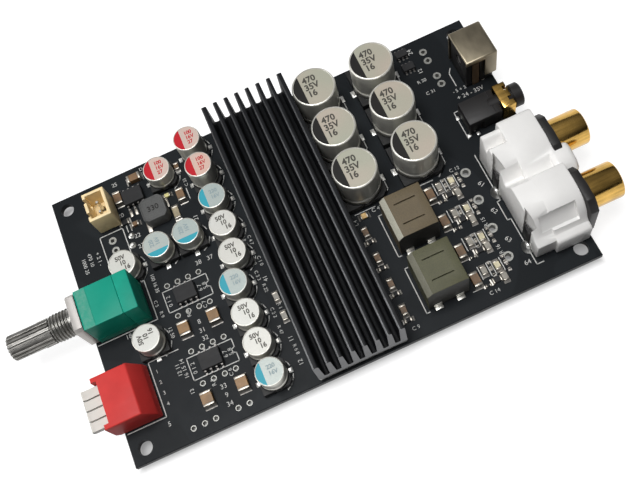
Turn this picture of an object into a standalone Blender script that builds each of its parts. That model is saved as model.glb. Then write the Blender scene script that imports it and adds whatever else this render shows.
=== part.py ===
# Audio amplifier board: a black circuit board with a finned heatsink over the amplifier chip,
# can capacitors, output inductors, a volume control, a four way piano switch and its sockets.
# Metres, +Z up. The origin is the centre of the board's underside, +X runs to the sockets.
import bpy
import bmesh
from math import cos, pi, radians, sin
from mathutils import Matrix, Vector

# Clearances
seat = 0.0003            # gap under a part that is soldered down
slip = 0.0003            # gap round a piece that sits or turns inside another
hole_slip = 0.0002       # gap round a lead in its hole

# Board
board_length = 0.1060
board_width = 0.0665
board_thickness = 0.0016
mount_hole_radius = 0.0016
mount_inset = 0.0032     # from both edges of each corner
lead_tail = 0.0019       # how far trimmed leads stand out under the board
lead_radius = 0.00035
pad_pitch = 0.00254      # pitch of the dual in line rows
row_span = 0.00762

# Heatsink, amplifier chip and the thermal pad between them
heatsink_x = 0.0519
heatsink_width = 0.0198
heatsink_length = 0.0660
heatsink_height = 0.0089
heatsink_floor = 0.0014
fin_count = 8
fin_tip = 0.0010
fin_root = 0.0014
chip_length = 0.0140
chip_width = 0.0061
chip_thickness = 0.0009
pad_thickness = 0.0003
chip_leg_pitch = 0.0006
chip_leg_width = 0.0002
chip_leg_reach = 0.0009
heatsink_pin_radius = 0.0009
heatsink_pin_inset = 0.0070

# Large capacitors
can_radius = 0.0050
can_height = 0.0102      # top above the board
can_base = 0.0103
can_base_height = 0.0016
can_plinth = 0.0007
can_insets = (0.0390, 0.0250)    # the two columns, in from the socket edge
can_first_row = 0.0371
can_row_pitch = 0.01135
can_row_count = 3
can_strip_width = 0.0012
strip_reach = 0.0005     # how far a can's flat leads stand out beyond its base

# Small capacitors
small_radius = 0.00315
small_height = 0.0054
tall_height = 0.0077
small_base = 0.0066
small_base_height = 0.0012
small_strip_width = 0.0008
small_strip_thickness = 0.0002

# Output inductors
inductor_inset = 0.0327  # in from the socket edge
inductor_first_row = 0.0098
inductor_row_pitch = 0.01375
inductor_count = 2
inductor_width = 0.0092
inductor_length = 0.0101
inductor_height = 0.0084
inductor_chamfer = 0.0012
inductor_slot = 0.0004
inductor_slot_offset = 0.0024

# Step down converter, and the eight pin chips
choke_size = 0.0058
choke_height = 0.0036
choke_place = (0.0221, 0.0529)
converter_place = (0.0190, 0.0588)
soic_length = 0.0049
soic_width = 0.0039
soic_height = 0.0015
soic_leg_pitch = 0.00127
soic_leg_width = 0.0004
soic_leg_reach = 0.0009

# Volume control
pot_y = 0.03335
shaft_height = 0.0065
pot_width = 0.0094
pot_height = 0.0099      # top above the board
plate_front = -0.0004
plate_thickness = 0.0015
plate_width = 0.0084
gang_front = 0.0087      # length of the section next to the plate
gang_rear = 0.0033
bush_radius = 0.0032
bush_length = 0.0052
shaft_neck_radius = 0.0022
shaft_radius = 0.0030
shaft_reach = 0.0152     # tip of the shaft to the front of the plate
shaft_depth = 0.0040     # how far the neck runs into the front section
spline_teeth = 18
spline_depth = 0.00025
shaft_slot = 0.0010
shaft_slot_depth = 0.0070
pot_lead_inset = 0.0016  # front row of leads, in from the back of the front section

# Piano switch
switch_y = 0.01355
switch_width = 0.0116
switch_height = 0.0076   # top above the board
switch_front = -0.0014
switch_top_back = 0.00665
switch_foot_back = 0.00905
cheek_depth = 0.0012
cheek_width = 0.0011
lever_count = 4
lever_pitch = 0.00235
lever_width = 0.0018
lever_slip = 0.00012
lever_thickness = 0.0016
lever_reach = 0.0047     # tip beyond the board's edge
lever_pivot_x = 0.0018
lever_height = 0.0043
lever_hub_radius = 0.0013

# Shrouded two pin header
header_x = 0.01165
header_y = 0.0573
header_depth = 0.0053
header_width = 0.0074
header_height = 0.0070
header_wall = 0.0007
header_floor = 0.0013
header_pin = 0.00064
header_pitch = 0.0025
header_pin_top = 0.0056

# Power socket
power_y = 0.0529
power_length = 0.0076
power_width = 0.0092
power_height = 0.0106    # top above the board
power_overhang = 0.0005
power_wall = 0.0004
power_bore_radius = 0.0031
power_pin_radius = 0.0010
power_axis = 0.0062
power_lead_back = 0.0014 # back lead, in from the back of the socket
power_lead_side = 0.0046 # side lead, in from the back of the socket
power_lead_offset = 0.0030

# 3.5 mm socket
mini_y = 0.0407
mini_length = 0.0080
mini_width = 0.0062
mini_height = 0.0046
mini_front = 0.0036      # body front behind the board's edge
mini_bracket = 0.0029
mini_nose_radius = 0.0027
mini_neck_radius = 0.0020
mini_fold = 0.0004
mini_bore_radius = 0.0018
mini_reach = 0.0022      # nose beyond the board's edge
mini_lead_inset = 0.0011 # leads in from the back and from both sides
mini_lead_span = 0.0047

# Twin phono sockets
phono_y = 0.0184
phono_pitch = 0.0139
phono_length = 0.0125    # back of the housing to the board's edge
phono_step = 0.0042      # length of the lower rear part
phono_width = 0.0282
phono_height = 0.0117
phono_rear_height = 0.0092
phono_slope = 0.0034
phono_shoulder = 0.0058
phono_axis = 0.0073
flange_thickness = 0.0011
flange_width = 0.0112
flange_height = 0.0114
barrel_radius = 0.0040
barrel_bore = 0.0016
barrel_reach = 0.0082    # tip beyond the board's edge
barrel_recess = 0.0031
phono_lead_inset = 0.0016
phono_lead_span = 0.0069

# Places of small parts, measured from the board's near left corner
low_capacitors = (
    ("red", 0.0269, 0.0603, 0), ("blue", 0.0363, 0.0480, 0), ("white", 0.0362, 0.0407, 0),
    ("white", 0.0358, 0.0335, 0), ("blue", 0.0335, 0.0268, 0), ("white", 0.0335, 0.01935, 0),
    ("white", 0.0335, 0.0124, 0), ("blue", 0.0335, 0.0054, 0), ("blue", 0.0209, 0.0426, 90),
    ("blue", 0.0280, 0.0426, 90), ("white", 0.0124, 0.0419, 0), ("white", 0.0120, 0.0234, 90))
tall_capacitors = (("red", 0.0361, 0.0629, 0), ("red", 0.0363, 0.0554, 0))
chip_rows = (0.0146, 0.0310)
chip_x = 0.0225
socket_rows = (0.01449, 0.03093)
socket_x = 0.02283
spare_pads = ((0.0109, 0.0508), (0.0109, 0.0482))
edge_pads = (0.01402, 0.01656, 0.01910, 0.02418, 0.02672)
edge_pad_y = 0.0026
output_hole_radius = 0.00065
signal_hole_radius = 0.00045

# Places by the sockets, measured in from the socket edge and up from the near edge
output_pads = ((0.0166, 0.0297), (0.0170, 0.0226), (0.0174, 0.0154), (0.0174, 0.0082))
link_pads = ((0.0114, 0.0624), (0.0114, 0.0598), (0.0113, 0.0551), (0.0113, 0.0527))

# Soldered chips: length, width and height, then places and which way they turn
large_chip = (0.0032, 0.0025, 0.0018)
large_chip_places = ((0.0195, 0.0234, 90), (0.0264, 0.0234, 90), (0.0190, 0.0069, 90), (0.0269, 0.0069, 90))
filter_chip = (0.0032, 0.0018, 0.0016)
filter_chip_places = ((0.0294, 0.0540, 90), (0.0155, 0.0600, 90), (0.0272, 0.0513, 90))
filter_chip_insets = (
    (0.0422, 0.0283, 90), (0.0422, 0.0205, 90), (0.0422, 0.0135, 90), (0.0422, 0.0065, 90))
small_chip = (0.0020, 0.00125, 0.0008)
small_chip_places = ((0.0404, 0.0215, 90), (0.0404, 0.0167, 90), (0.0264, 0.0562, 0), (0.0158, 0.0542, 0),
                     (0.0193, 0.0645, 0))
small_chip_insets = ((0.0410, 0.0307, 0),)
# Output filter chips, measured from the middle of the inductors towards the sockets
output_filter_places = ((0.0068, 0.0280, 90), (0.0068, 0.0209, 90), (0.0068, 0.0132, 90), (0.0068, 0.0062, 90))
output_small_places = (
    (0.0094, 0.0290, 90), (0.0096, 0.0218, 90), (0.0096, 0.0145, 90), (0.0093, 0.0074, 90),
    (0.0124, 0.0292, 90), (0.0125, 0.0218, 90), (0.0123, 0.0145, 90), (0.0123, 0.0073, 90),
    (0.0125, 0.0260, 90), (0.0125, 0.0190, 90), (0.0125, 0.0120, 90), (0.0126, 0.0045, 90),
    (0.0107, 0.0265, 0), (0.0107, 0.0200, 0), (0.0107, 0.0120, 0), (0.0109, 0.0045, 0))
driver_chip = (0.0030, 0.0026, 0.0011)
driver_chip_insets = ((0.0163, 0.0600, 0), (0.0163, 0.0640, 0))
solder_sink = 0.0001     # how far a soldered chip is sunk into the board


def clear_scene():
    for item in list(bpy.data.objects):
        bpy.data.objects.remove(item, do_unlink=True)


def make_collection(name):
    group = bpy.data.collections.new(name)
    bpy.context.scene.collection.children.link(group)
    return group


def at(x, y, z=0.0):
    """World place of a point given from the board's near left corner and top face."""
    return Vector((x - board_length / 2, y - board_width / 2, z + board_thickness))


def make_material(name, color, roughness, metallic=0.0):
    material = bpy.data.materials.new(name)
    material.use_nodes = True
    shader = material.node_tree.nodes["Principled BSDF"]
    shader.inputs["Base Color"].default_value = (*color, 1.0)
    shader.inputs["Roughness"].default_value = roughness
    shader.inputs["Metallic"].default_value = metallic
    return material


def add_part(name, mesh, place, material, turn=0.0):
    part = bpy.data.objects.new(name, mesh)
    part.location = place
    part.rotation_euler = (0.0, 0.0, radians(turn))
    parts.objects.link(part)
    if not mesh.materials:
        mesh.materials.append(material)
    for polygon in mesh.polygons:
        polygon.use_smooth = True
    mesh.set_sharp_from_angle(angle=radians(35))
    return part


def evaluated_mesh(source):
    """Mesh of an object with its modifiers applied; the object is removed."""
    graph = bpy.context.evaluated_depsgraph_get()
    mesh = bpy.data.meshes.new_from_object(source.evaluated_get(graph))
    bpy.data.objects.remove(source, do_unlink=True)
    shape = bmesh.new()
    shape.from_mesh(mesh)
    bmesh.ops.remove_doubles(shape, verts=shape.verts, dist=1e-7)
    shape.to_mesh(mesh)
    shape.free()
    return mesh


def helper_object(mesh):
    item = bpy.data.objects.new("helper", mesh)
    item.hide_render = True
    item.display_type = "WIRE"
    cutters.objects.link(item)
    return item


def block(low, high, bevel=0.0):
    """Box mesh between two corners, with all its edges bevelled."""
    shape = bmesh.new()
    bmesh.ops.create_cube(shape, size=1.0)
    size = Vector(high) - Vector(low)
    middle = (Vector(high) + Vector(low)) / 2
    bmesh.ops.transform(shape, matrix=Matrix.Translation(middle) @ Matrix.Diagonal((*size, 1.0)), verts=shape.verts)
    if bevel:
        bmesh.ops.bevel(shape, geom=shape.edges[:], offset=bevel, segments=1, affect="EDGES")
    mesh = bpy.data.meshes.new("block")
    shape.to_mesh(mesh)
    shape.free()
    return mesh


def rod(radius, low, high, sides=16, axis="Z", centre=(0.0, 0.0)):
    """Closed cylinder along an axis; centre is given on the two other axes."""
    turn = {"Z": Matrix.Identity(4), "X": Matrix.Rotation(pi / 2, 4, "Y")}[axis]
    middle = (low + high) / 2
    place = (*centre, middle) if axis == "Z" else (middle, *centre)
    shape = bmesh.new()
    bmesh.ops.create_cone(shape, cap_ends=True, segments=sides, radius1=radius, radius2=radius,
                          depth=high - low, matrix=Matrix.Translation(place) @ turn)
    mesh = bpy.data.meshes.new("rod")
    shape.to_mesh(mesh)
    shape.free()
    return mesh


def turned(profile, steps, axis="Z"):
    """Profile of (radius, height) points turned round Z, or laid along X."""
    mesh = bpy.data.meshes.new("profile")
    points = [(radius, 0.0, height) for radius, height in profile]
    mesh.from_pydata(points, [(i, i + 1) for i in range(len(points) - 1)], [])
    item = helper_object(mesh)
    screw = item.modifiers.new("turn", "SCREW")
    screw.steps = steps
    screw.render_steps = steps
    screw.use_merge_vertices = True
    screw.merge_threshold = 0.00001
    screw.use_normal_calculate = True
    result = evaluated_mesh(item)
    if axis == "X":
        result.transform(Matrix.Rotation(pi / 2, 4, "Y"))
    face_outwards(result)
    return result


def face_outwards(mesh):
    shape = bmesh.new()
    shape.from_mesh(mesh)
    bmesh.ops.recalc_face_normals(shape, faces=shape.faces)
    shape.to_mesh(mesh)
    shape.free()


def extruded(outline, low, high, axis="Z"):
    """Flat outline given thickness. On X the outline is (y, z), on Y it is (x, z)."""
    curve = bpy.data.curves.new("outline", "CURVE")
    curve.dimensions = "2D"
    curve.fill_mode = "BOTH"
    curve.extrude = (high - low) / 2
    spline = curve.splines.new("POLY")
    spline.points.add(len(outline) - 1)
    for point, (u, v) in zip(spline.points, outline):
        point.co = (u, v, 0.0, 1.0)
    spline.use_cyclic_u = True
    mesh = evaluated_mesh(helper_object(curve))
    mesh.transform(Matrix.Translation((0.0, 0.0, (low + high) / 2)))
    turns = {
        "Z": Matrix.Identity(4),
        "X": Matrix(((0, 0, 1, 0), (1, 0, 0, 0), (0, 1, 0, 0), (0, 0, 0, 1))),
        "Y": Matrix(((1, 0, 0, 0), (0, 0, 1, 0), (0, 1, 0, 0), (0, 0, 0, 1)))}
    mesh.transform(turns[axis])
    face_outwards(mesh)
    return mesh


def together(meshes):
    """Separate shapes held in one mesh, to cut or add in one go."""
    shape = bmesh.new()
    for mesh in meshes:
        shape.from_mesh(mesh)
    result = bpy.data.meshes.new("group")
    shape.to_mesh(result)
    shape.free()
    return result


def carve(base, operation, tools):
    """Union or difference of a mesh with others, one after another."""
    for tool in tools:
        item = helper_object(base)
        cutter = helper_object(tool)
        boolean = item.modifiers.new("carve", "BOOLEAN")
        boolean.operation = operation
        boolean.solver = "EXACT"
        boolean.object = cutter
        base = evaluated_mesh(item)
        bpy.data.objects.remove(cutter, do_unlink=True)
    return base


def add(base, *tools):
    return carve(base, "UNION", tools)


def cut(base, *tools):
    return carve(base, "DIFFERENCE", tools)


def shifted(mesh, x=0.0, y=0.0, z=0.0, turn=0.0):
    copy = mesh.copy()
    copy.transform(Matrix.Translation((x, y, z)) @ Matrix.Rotation(radians(turn), 4, "Z"))
    return copy


def lead(x, y, top, radius=lead_radius):
    """Round lead from inside its part down through the board, in the part's own frame."""
    return rod(radius, -seat - board_thickness - lead_tail, top, 8, centre=(x, y))


def power_base():
    """Back end and pin places of the power socket, from the board's left edge."""
    front = board_length + power_overhang
    back = front - power_length
    return front, back, ((back + power_lead_back, power_y), (back + power_lead_side, power_y - power_lead_offset))


def from_sockets(places):
    """Places given in from the socket edge, as places from the near left corner."""
    return [(board_length - inset, *rest) for inset, *rest in places]


def beside_inductors(places):
    """Places given from the middle of the inductors, as places from the near left corner."""
    return [(board_length - inductor_inset + reach, *rest) for reach, *rest in places]


def board_holes():
    """Every hole as (x, y, radius), from the same values as the leads that pass them."""
    lead_hole = lead_radius + hole_slip
    holes = []
    for x in (mount_inset, board_length - mount_inset):
        for y in (mount_inset, board_width - mount_inset):
            holes.append((x, y, mount_hole_radius))
    for row in socket_rows:
        for side in (-1, 1):
            for step in range(4):
                x = socket_x + (step - 1.5) * pad_pitch
                holes.append((x, row + side * row_span / 2, signal_hole_radius))
    holes += [(x, y, output_hole_radius) for x, y in from_sockets(output_pads)]
    holes += [(x, y, signal_hole_radius) for x, y in from_sockets(link_pads)]
    holes += [(x, y, signal_hole_radius) for x, y in spare_pads]
    holes += [(x, edge_pad_y, signal_hole_radius) for x in edge_pads]
    holes += [(x, y, lead_hole) for x, y in pot_leads()]
    holes += [(x, y, lead_hole) for x, y in switch_leads()]
    holes += [(header_x, y, header_pin / 2 ** 0.5 + hole_slip) for y in header_pin_rows()]
    holes += [(x, y, lead_hole) for x, y in power_base()[2]]
    holes += [(x, y, lead_hole) for x, y in mini_leads()]
    holes += [(x, y, lead_hole) for x, y in phono_leads()]
    holes += [(heatsink_x, y, heatsink_pin_radius + hole_slip) for y in heatsink_pin_rows()]
    return holes


def pot_leads():
    rows = (plate_front + plate_thickness + slip + gang_front - pot_lead_inset,
            plate_front + plate_thickness + 2 * slip + gang_front + gang_rear / 2)
    return [(x, pot_y + side * pad_pitch) for x in rows for side in (-1, 0, 1)]


def switch_leads():
    back = switch_foot_back - 0.0009
    return [(x, switch_y + (step - (lever_count - 1) / 2) * pad_pitch)
            for x in (back - row_span + 0.0008, back) for step in range(lever_count)]


def header_pin_rows():
    return (header_y - header_pitch / 2, header_y + header_pitch / 2)


def mini_leads():
    back = board_length - mini_front - mini_length + mini_lead_inset
    side = mini_width / 2 - mini_lead_inset
    return [(back, mini_y - side), (back + mini_lead_span, mini_y + side)]


def phono_leads():
    back = board_length - phono_length + phono_lead_inset
    return [(x, phono_y + side * phono_pitch / 2) for x in (back, back + phono_lead_span) for side in (-1, 1)]


def heatsink_pin_rows():
    middle = board_width / 2
    reach = heatsink_length / 2 - heatsink_pin_inset
    return (middle - reach, middle + reach)


def make_board():
    """Laminate with its holes and the soldered chip resistors and capacitors on it."""
    slab = block((0, 0, -board_thickness), (board_length, board_width, 0))
    drills = []
    for x, y, radius in board_holes():
        sides = 20 if radius >= mount_hole_radius else 8
        drills.append(rod(radius, -2 * board_thickness, board_thickness, sides, centre=(x, y)))
    slab = cut(slab, together(drills))
    chips = []
    groups = ((large_chip, large_chip_places), (filter_chip, filter_chip_places),
              (filter_chip, from_sockets(filter_chip_insets)), (small_chip, small_chip_places),
              (small_chip, from_sockets(small_chip_insets)), (filter_chip, beside_inductors(output_filter_places)),
              (small_chip, beside_inductors(output_small_places)), (driver_chip, from_sockets(driver_chip_insets)))
    for (length, width, height), places in groups:
        body = block((-length / 2, -width / 2, -solder_sink), (length / 2, width / 2, height))
        chips += [shifted(body, x, y, turn=turn) for x, y, turn in places]
    board = add(slab, together(chips))
    add_part("circuit_board", board, at(0, 0), black_mask)


def fin_outline():
    """Heatsink section as (x, z): a floor with tapered, round topped fins."""
    half = heatsink_width / 2
    pitch = (heatsink_width - fin_root) / (fin_count - 1)
    points = [(-half, 0.0), (half, 0.0)]
    for index in reversed(range(fin_count)):
        middle = -half + fin_root / 2 + index * pitch
        last = index == fin_count - 1
        first = index == 0
        right = middle + fin_root / 2
        left = middle - fin_root / 2
        if not last:
            points.append((right, heatsink_floor))
        tip_right = right if last else middle + fin_tip / 2
        tip_left = left if first else middle - fin_tip / 2
        radius = (tip_right - tip_left) / 2
        centre = (tip_right + tip_left) / 2
        for step in range(5):
            angle = pi * step / 4
            points.append((centre + radius * cos(angle), heatsink_height - radius + radius * sin(angle)))
        if not first:
            points.append((left, heatsink_floor))
    return points


def make_heatsink():
    stack = chip_thickness + pad_thickness + 3 * seat
    section = extruded(fin_outline(), -heatsink_length / 2, heatsink_length / 2, "Y")
    middle = board_width / 2
    bores = [rod(heatsink_pin_radius + slip, -0.001, heatsink_floor - slip, 12, centre=(0, y - middle))
             for y in heatsink_pin_rows()]
    section = cut(section, together(bores))
    add_part("heatsink", section, at(heatsink_x, middle, stack), black_anodised)
    for index, y in enumerate(heatsink_pin_rows()):
        pin = rod(heatsink_pin_radius, -board_thickness - lead_tail, stack + heatsink_floor - 2 * slip, 12)
        add_part(f"heatsink_pin_{index + 1}", pin, at(heatsink_x, y), tinned)
    chip = block((-chip_width / 2, -chip_length / 2, 0), (chip_width / 2, chip_length / 2, chip_thickness))
    leg_count = int((chip_length - chip_leg_pitch) / chip_leg_pitch)
    root = chip_width / 2 - solder_sink
    tip = chip_width / 2 + chip_leg_reach
    legs = []
    for step in range(leg_count):
        y = (step - (leg_count - 1) / 2) * chip_leg_pitch
        for low, high in ((-tip, -root), (root, tip)):
            legs.append(block((low, y - chip_leg_width / 2, chip_leg_width),
                              (high, y + chip_leg_width / 2, 2 * chip_leg_width)))
    chip = add(chip, together(legs))
    add_part("amplifier_chip", chip, at(heatsink_x, middle, seat), black_epoxy)
    pad = block((-chip_width / 2, -chip_length / 2, 0), (chip_width / 2, chip_length / 2, pad_thickness))
    add_part("thermal_pad", pad, at(heatsink_x, middle, chip_thickness + 2 * seat), thermal_grey)


def base_outline(size):
    """Square with two cut corners on the positive side."""
    half = size / 2
    nip = size * 0.14
    return [(-half, -half), (half - nip, -half), (half, -half + nip), (half, half - nip), (half - nip, half),
            (-half, half)]


def can_profile(radius, low, high):
    """Drawn can from its top centre down: rolled rim, crimp groove and rounded foot."""
    rim = radius * 0.12
    groove = radius * 0.07
    return [(0.0, high - rim * 0.4), (radius - 1.6 * rim, high - rim * 0.4), (radius - rim, high),
            (radius - rim * 0.3, high - rim * 0.3), (radius, high - rim), (radius, low + 4.6 * rim),
            (radius - groove, low + 3.6 * rim), (radius, low + 2.6 * rim), (radius, low + rim * 0.6),
            (radius - rim * 0.6, low), (0.0, low)]


def can_foot(size, height, plinth, radius, lead_width):
    """Plastic base with a round recess for the can, and two flat leads."""
    foot = extruded(base_outline(size), 0.0, height)
    foot = cut(foot, rod(radius + slip, plinth, height * 2, 24))
    reach = size / 2 + strip_reach
    strip = block((-reach, -lead_width / 2, -solder_sink), (reach, lead_width / 2, seat))
    return add(foot, strip)


def make_large_capacitors():
    foot = can_foot(can_base, can_base_height, can_plinth, can_radius, can_strip_width)
    can = turned(can_profile(can_radius, 0.0, can_height - seat - can_plinth - slip), 24)
    number = 0
    for inset in can_insets:
        for row in range(can_row_count):
            x = board_length - inset
            y = can_first_row + row * can_row_pitch
            number += 1
            add_part(f"large_capacitor_base_{number}", foot.copy(), at(x, y, seat), black_plastic)
            add_part(f"large_capacitor_can_{number}", can.copy(), at(x, y, seat + can_plinth + slip), aluminium)


def small_capacitor(height):
    """Small can fused to its base, because so many share the board."""
    foot = extruded(base_outline(small_base), 0.0, small_base_height)
    reach = small_base / 2 + strip_reach
    strip = block((-reach, -small_strip_width / 2, -solder_sink), (reach, small_strip_width / 2, small_strip_thickness))
    can = turned(can_profile(small_radius, small_base_height - solder_sink, height - seat), 16)
    return add(foot, strip, can)


def make_small_capacitors():
    low = small_capacitor(small_height)
    tall = small_capacitor(tall_height)
    counts = {}
    for mesh, places in ((low, low_capacitors), (tall, tall_capacitors)):
        for colour, x, y, turn in places:
            counts[colour] = counts.get(colour, 0) + 1
            add_part(f"{colour}_capacitor_{counts[colour]}", mesh.copy(), at(x, y, seat), aluminium, turn)


def make_inductors():
    half_x = inductor_width / 2
    half_y = inductor_length / 2
    section = [(-half_x, 0.0), (half_x, 0.0), (half_x, inductor_height), (-half_x + inductor_chamfer, inductor_height),
               (-half_x, inductor_height - inductor_chamfer)]
    core = extruded(section, -half_y, half_y, "Y")
    slots = []
    for side in (-1, 1):
        y = side * inductor_slot_offset
        slots.append(block((-half_x * 0.45, y - inductor_slot / 2, inductor_height - 0.0006),
                           (half_x * 0.6, y + inductor_slot / 2, inductor_height + 0.001)))
    core = cut(core, together(slots))
    tabs = []
    for x in (-0.0025, 0.0025):
        tabs.append(block((x - 0.0009, -half_y - 0.0010, 0.0), (x + 0.0009, half_y + 0.0010, 0.0003)))
    core = add(core, together(tabs))
    for index in range(inductor_count):
        y = inductor_first_row + index * inductor_row_pitch
        add_part(f"output_inductor_{index + 1}", core.copy(), at(board_length - inductor_inset, y, seat), ferrite)


def small_outline_chip():
    """Eight pin chip with bent legs along both long sides."""
    body = block((-soic_length / 2, -soic_width / 2, 0.0001), (soic_length / 2, soic_width / 2, soic_height), 0.0001)
    legs = []
    root = soic_width / 2 - solder_sink
    tip = soic_width / 2 + soic_leg_reach
    half = soic_leg_width / 2
    for step in range(4):
        x = (step - 1.5) * soic_leg_pitch
        for low, high in ((-tip, -root), (root, tip)):
            legs.append(block((x - half, low, seat), (x + half, high, 2 * seat)))
    return add(body, together(legs))


def make_chips():
    chip = small_outline_chip()
    for index, y in enumerate(chip_rows):
        add_part(f"preamplifier_chip_{index + 1}", chip.copy(), at(chip_x, y, seat), black_epoxy)
    add_part("converter_chip", chip.copy(), at(*converter_place, seat), black_epoxy)
    half = choke_size / 2
    nip = choke_size * 0.16
    outline = [(-half + nip, -half), (half - nip, -half), (half, -half + nip), (half, half - nip),
               (half - nip, half), (-half + nip, half), (-half, half - nip), (-half, -half + nip)]
    choke = extruded(outline, 0.0, choke_height)
    add_part("converter_choke", choke, at(*choke_place, seat), ferrite)


def make_volume_control():
    """Front plate with its bush, two wiper sections and a splined, slotted shaft."""
    axis = shaft_height
    half = plate_width / 2
    top = pot_height
    nip = 0.0016
    plate_outline = [(-half, seat), (half, seat), (half, top - nip), (half - nip, top), (-half + nip, top),
                     (-half, top - nip)]
    back = plate_front + plate_thickness
    plate = extruded(plate_outline, plate_front, back, "X")
    bush = rod(bush_radius, plate_front - bush_length, plate_front + 0.0001, 28, "X", (0.0, axis))
    plate = add(plate, bush)
    plate = cut(plate, rod(shaft_neck_radius + slip, -0.02, 0.01, 20, "X", (0.0, axis)))
    add_part("control_bush_plate", plate, at(0, pot_y), nickel)

    half = pot_width / 2
    start = back + slip
    front = block((start, -half, seat), (start + gang_front, half, pot_height), 0.0003)
    front = cut(front, rod(shaft_neck_radius + slip, start - 0.001, start + shaft_depth + slip, 20, "X", (0.0, axis)))
    leads = pot_leads()
    front_leads = [shifted(lead(x, y - pot_y, 0.0015 + seat), z=seat) for x, y in leads[:3]]
    front = add(front, together(front_leads))
    add_part("control_front_section", front, at(0, pot_y), green_plastic)

    start_rear = start + gang_front + slip
    rear = block((start_rear, -half, seat), (start_rear + gang_rear, half, pot_height), 0.0003)
    rear_leads = [shifted(lead(x, y - pot_y, 0.0015 + seat), z=seat) for x, y in leads[3:]]
    rear = add(rear, together(rear_leads))
    add_part("control_rear_section", rear, at(0, pot_y), green_plastic)

    tip = plate_front - shaft_reach
    shoulder = plate_front - bush_length - slip
    outline = []
    for tooth in range(spline_teeth):
        for offset, radius in ((0.0, shaft_radius), (0.35, shaft_radius), (0.5, shaft_radius - spline_depth),
                               (0.85, shaft_radius - spline_depth)):
            angle = 2 * pi * (tooth + offset) / spline_teeth
            outline.append((radius * cos(angle), radius * sin(angle)))
    shaft = extruded(outline, tip, shoulder, "X")
    neck = rod(shaft_neck_radius, shoulder - 0.0002, start + shaft_depth, 20, "X")
    shaft = add(shaft, neck)
    slot = block((tip - 0.001, -shaft_radius * 1.5, -shaft_slot / 2),
                 (tip + shaft_slot_depth, shaft_radius * 1.5, shaft_slot / 2))
    slot.transform(Matrix.Rotation(radians(25), 4, "X"))
    shaft = cut(shaft, slot)
    add_part("control_shaft", shaft, at(0, pot_y, axis), nickel)


def make_piano_switch():
    """Moulded body with four pockets, and a rocking lever on its own hub in each pocket."""
    half = switch_width / 2
    section = [(switch_front, seat + 0.0010), (switch_front + 0.0008, seat), (switch_foot_back, seat),
               (switch_foot_back - 0.0004, 0.0030), (switch_top_back, switch_height), (switch_front, switch_height)]
    body = extruded(section, -half, half, "Y")
    recess = block((switch_front - 0.001, -half + cheek_width, seat + 0.0008),
                   (switch_front + cheek_depth, half - cheek_width, switch_height * 2))
    pocket_low = lever_height - lever_hub_radius - slip
    pocket_high = lever_height + lever_hub_radius + slip
    pockets = []
    rows = [(step - (lever_count - 1) / 2) * lever_pitch for step in range(lever_count)]
    for y in rows:
        width = lever_width / 2 + lever_slip
        pockets.append(block((switch_front - 0.001, y - width, pocket_low),
                             (lever_pivot_x + lever_hub_radius + slip, y + width, pocket_high)))
    body = cut(body, recess, together(pockets))
    legs = [lead(x, y - switch_y, 0.0010) for x, y in switch_leads()]
    body = add(body, together([shifted(leg, z=seat) for leg in legs]))
    add_part("switch_body", body, at(0, switch_y), red_plastic)

    lift = 0.0004
    reach = lever_reach + lever_pivot_x
    half_thick = lever_thickness / 2
    outline = [(0.0, lift - half_thick), (0.0, lift + half_thick), (-reach + 0.0003, lift + half_thick + 0.0003),
               (-reach, lift + half_thick), (-reach, lift - half_thick + 0.0003), (-reach + 0.0003, lift - half_thick)]
    arm = extruded(outline, -lever_width / 2, lever_width / 2, "Y")
    hub = rod(lever_hub_radius, -lever_width / 2, lever_width / 2, 20)
    hub.transform(Matrix.Rotation(pi / 2, 4, "X"))
    lever = add(arm, hub)
    for index, y in enumerate(rows):
        add_part(f"switch_lever_{index + 1}", lever.copy(), at(lever_pivot_x, switch_y + y, lever_height), white_plastic)


def make_header():
    """Open topped shroud with two slots to the front, and two square pins."""
    half_x = header_depth / 2
    half_y = header_width / 2
    body = block((-half_x, -half_y, 0.0), (half_x, half_y, header_height - seat), 0.0002)
    cavity = block((-half_x + header_wall, -half_y + header_wall, header_floor),
                   (half_x - header_wall, half_y - header_wall, header_height * 2))
    gates = [block((-half_x * 2, y - 0.0005, 0.0025), (-half_x + header_wall * 2, y + 0.0005, header_height * 2))
             for y in (-half_y * 0.5, half_y * 0.5)]
    bores = [block((-header_pin / 2 - slip, y - header_y - header_pin / 2 - slip, -0.001),
                   (header_pin / 2 + slip, y - header_y + header_pin / 2 + slip, header_floor * 2))
             for y in header_pin_rows()]
    body = cut(body, cavity, together(gates), together(bores))
    add_part("header_shroud", body, at(header_x, header_y, seat), ivory_plastic)
    half = header_pin / 2
    pin = block((-half, -half, -board_thickness - lead_tail), (half, half, header_pin_top), 0.0001)
    for index, y in enumerate(header_pin_rows()):
        add_part(f"header_pin_{index + 1}", pin.copy(), at(header_x, y), tinned)


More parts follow.
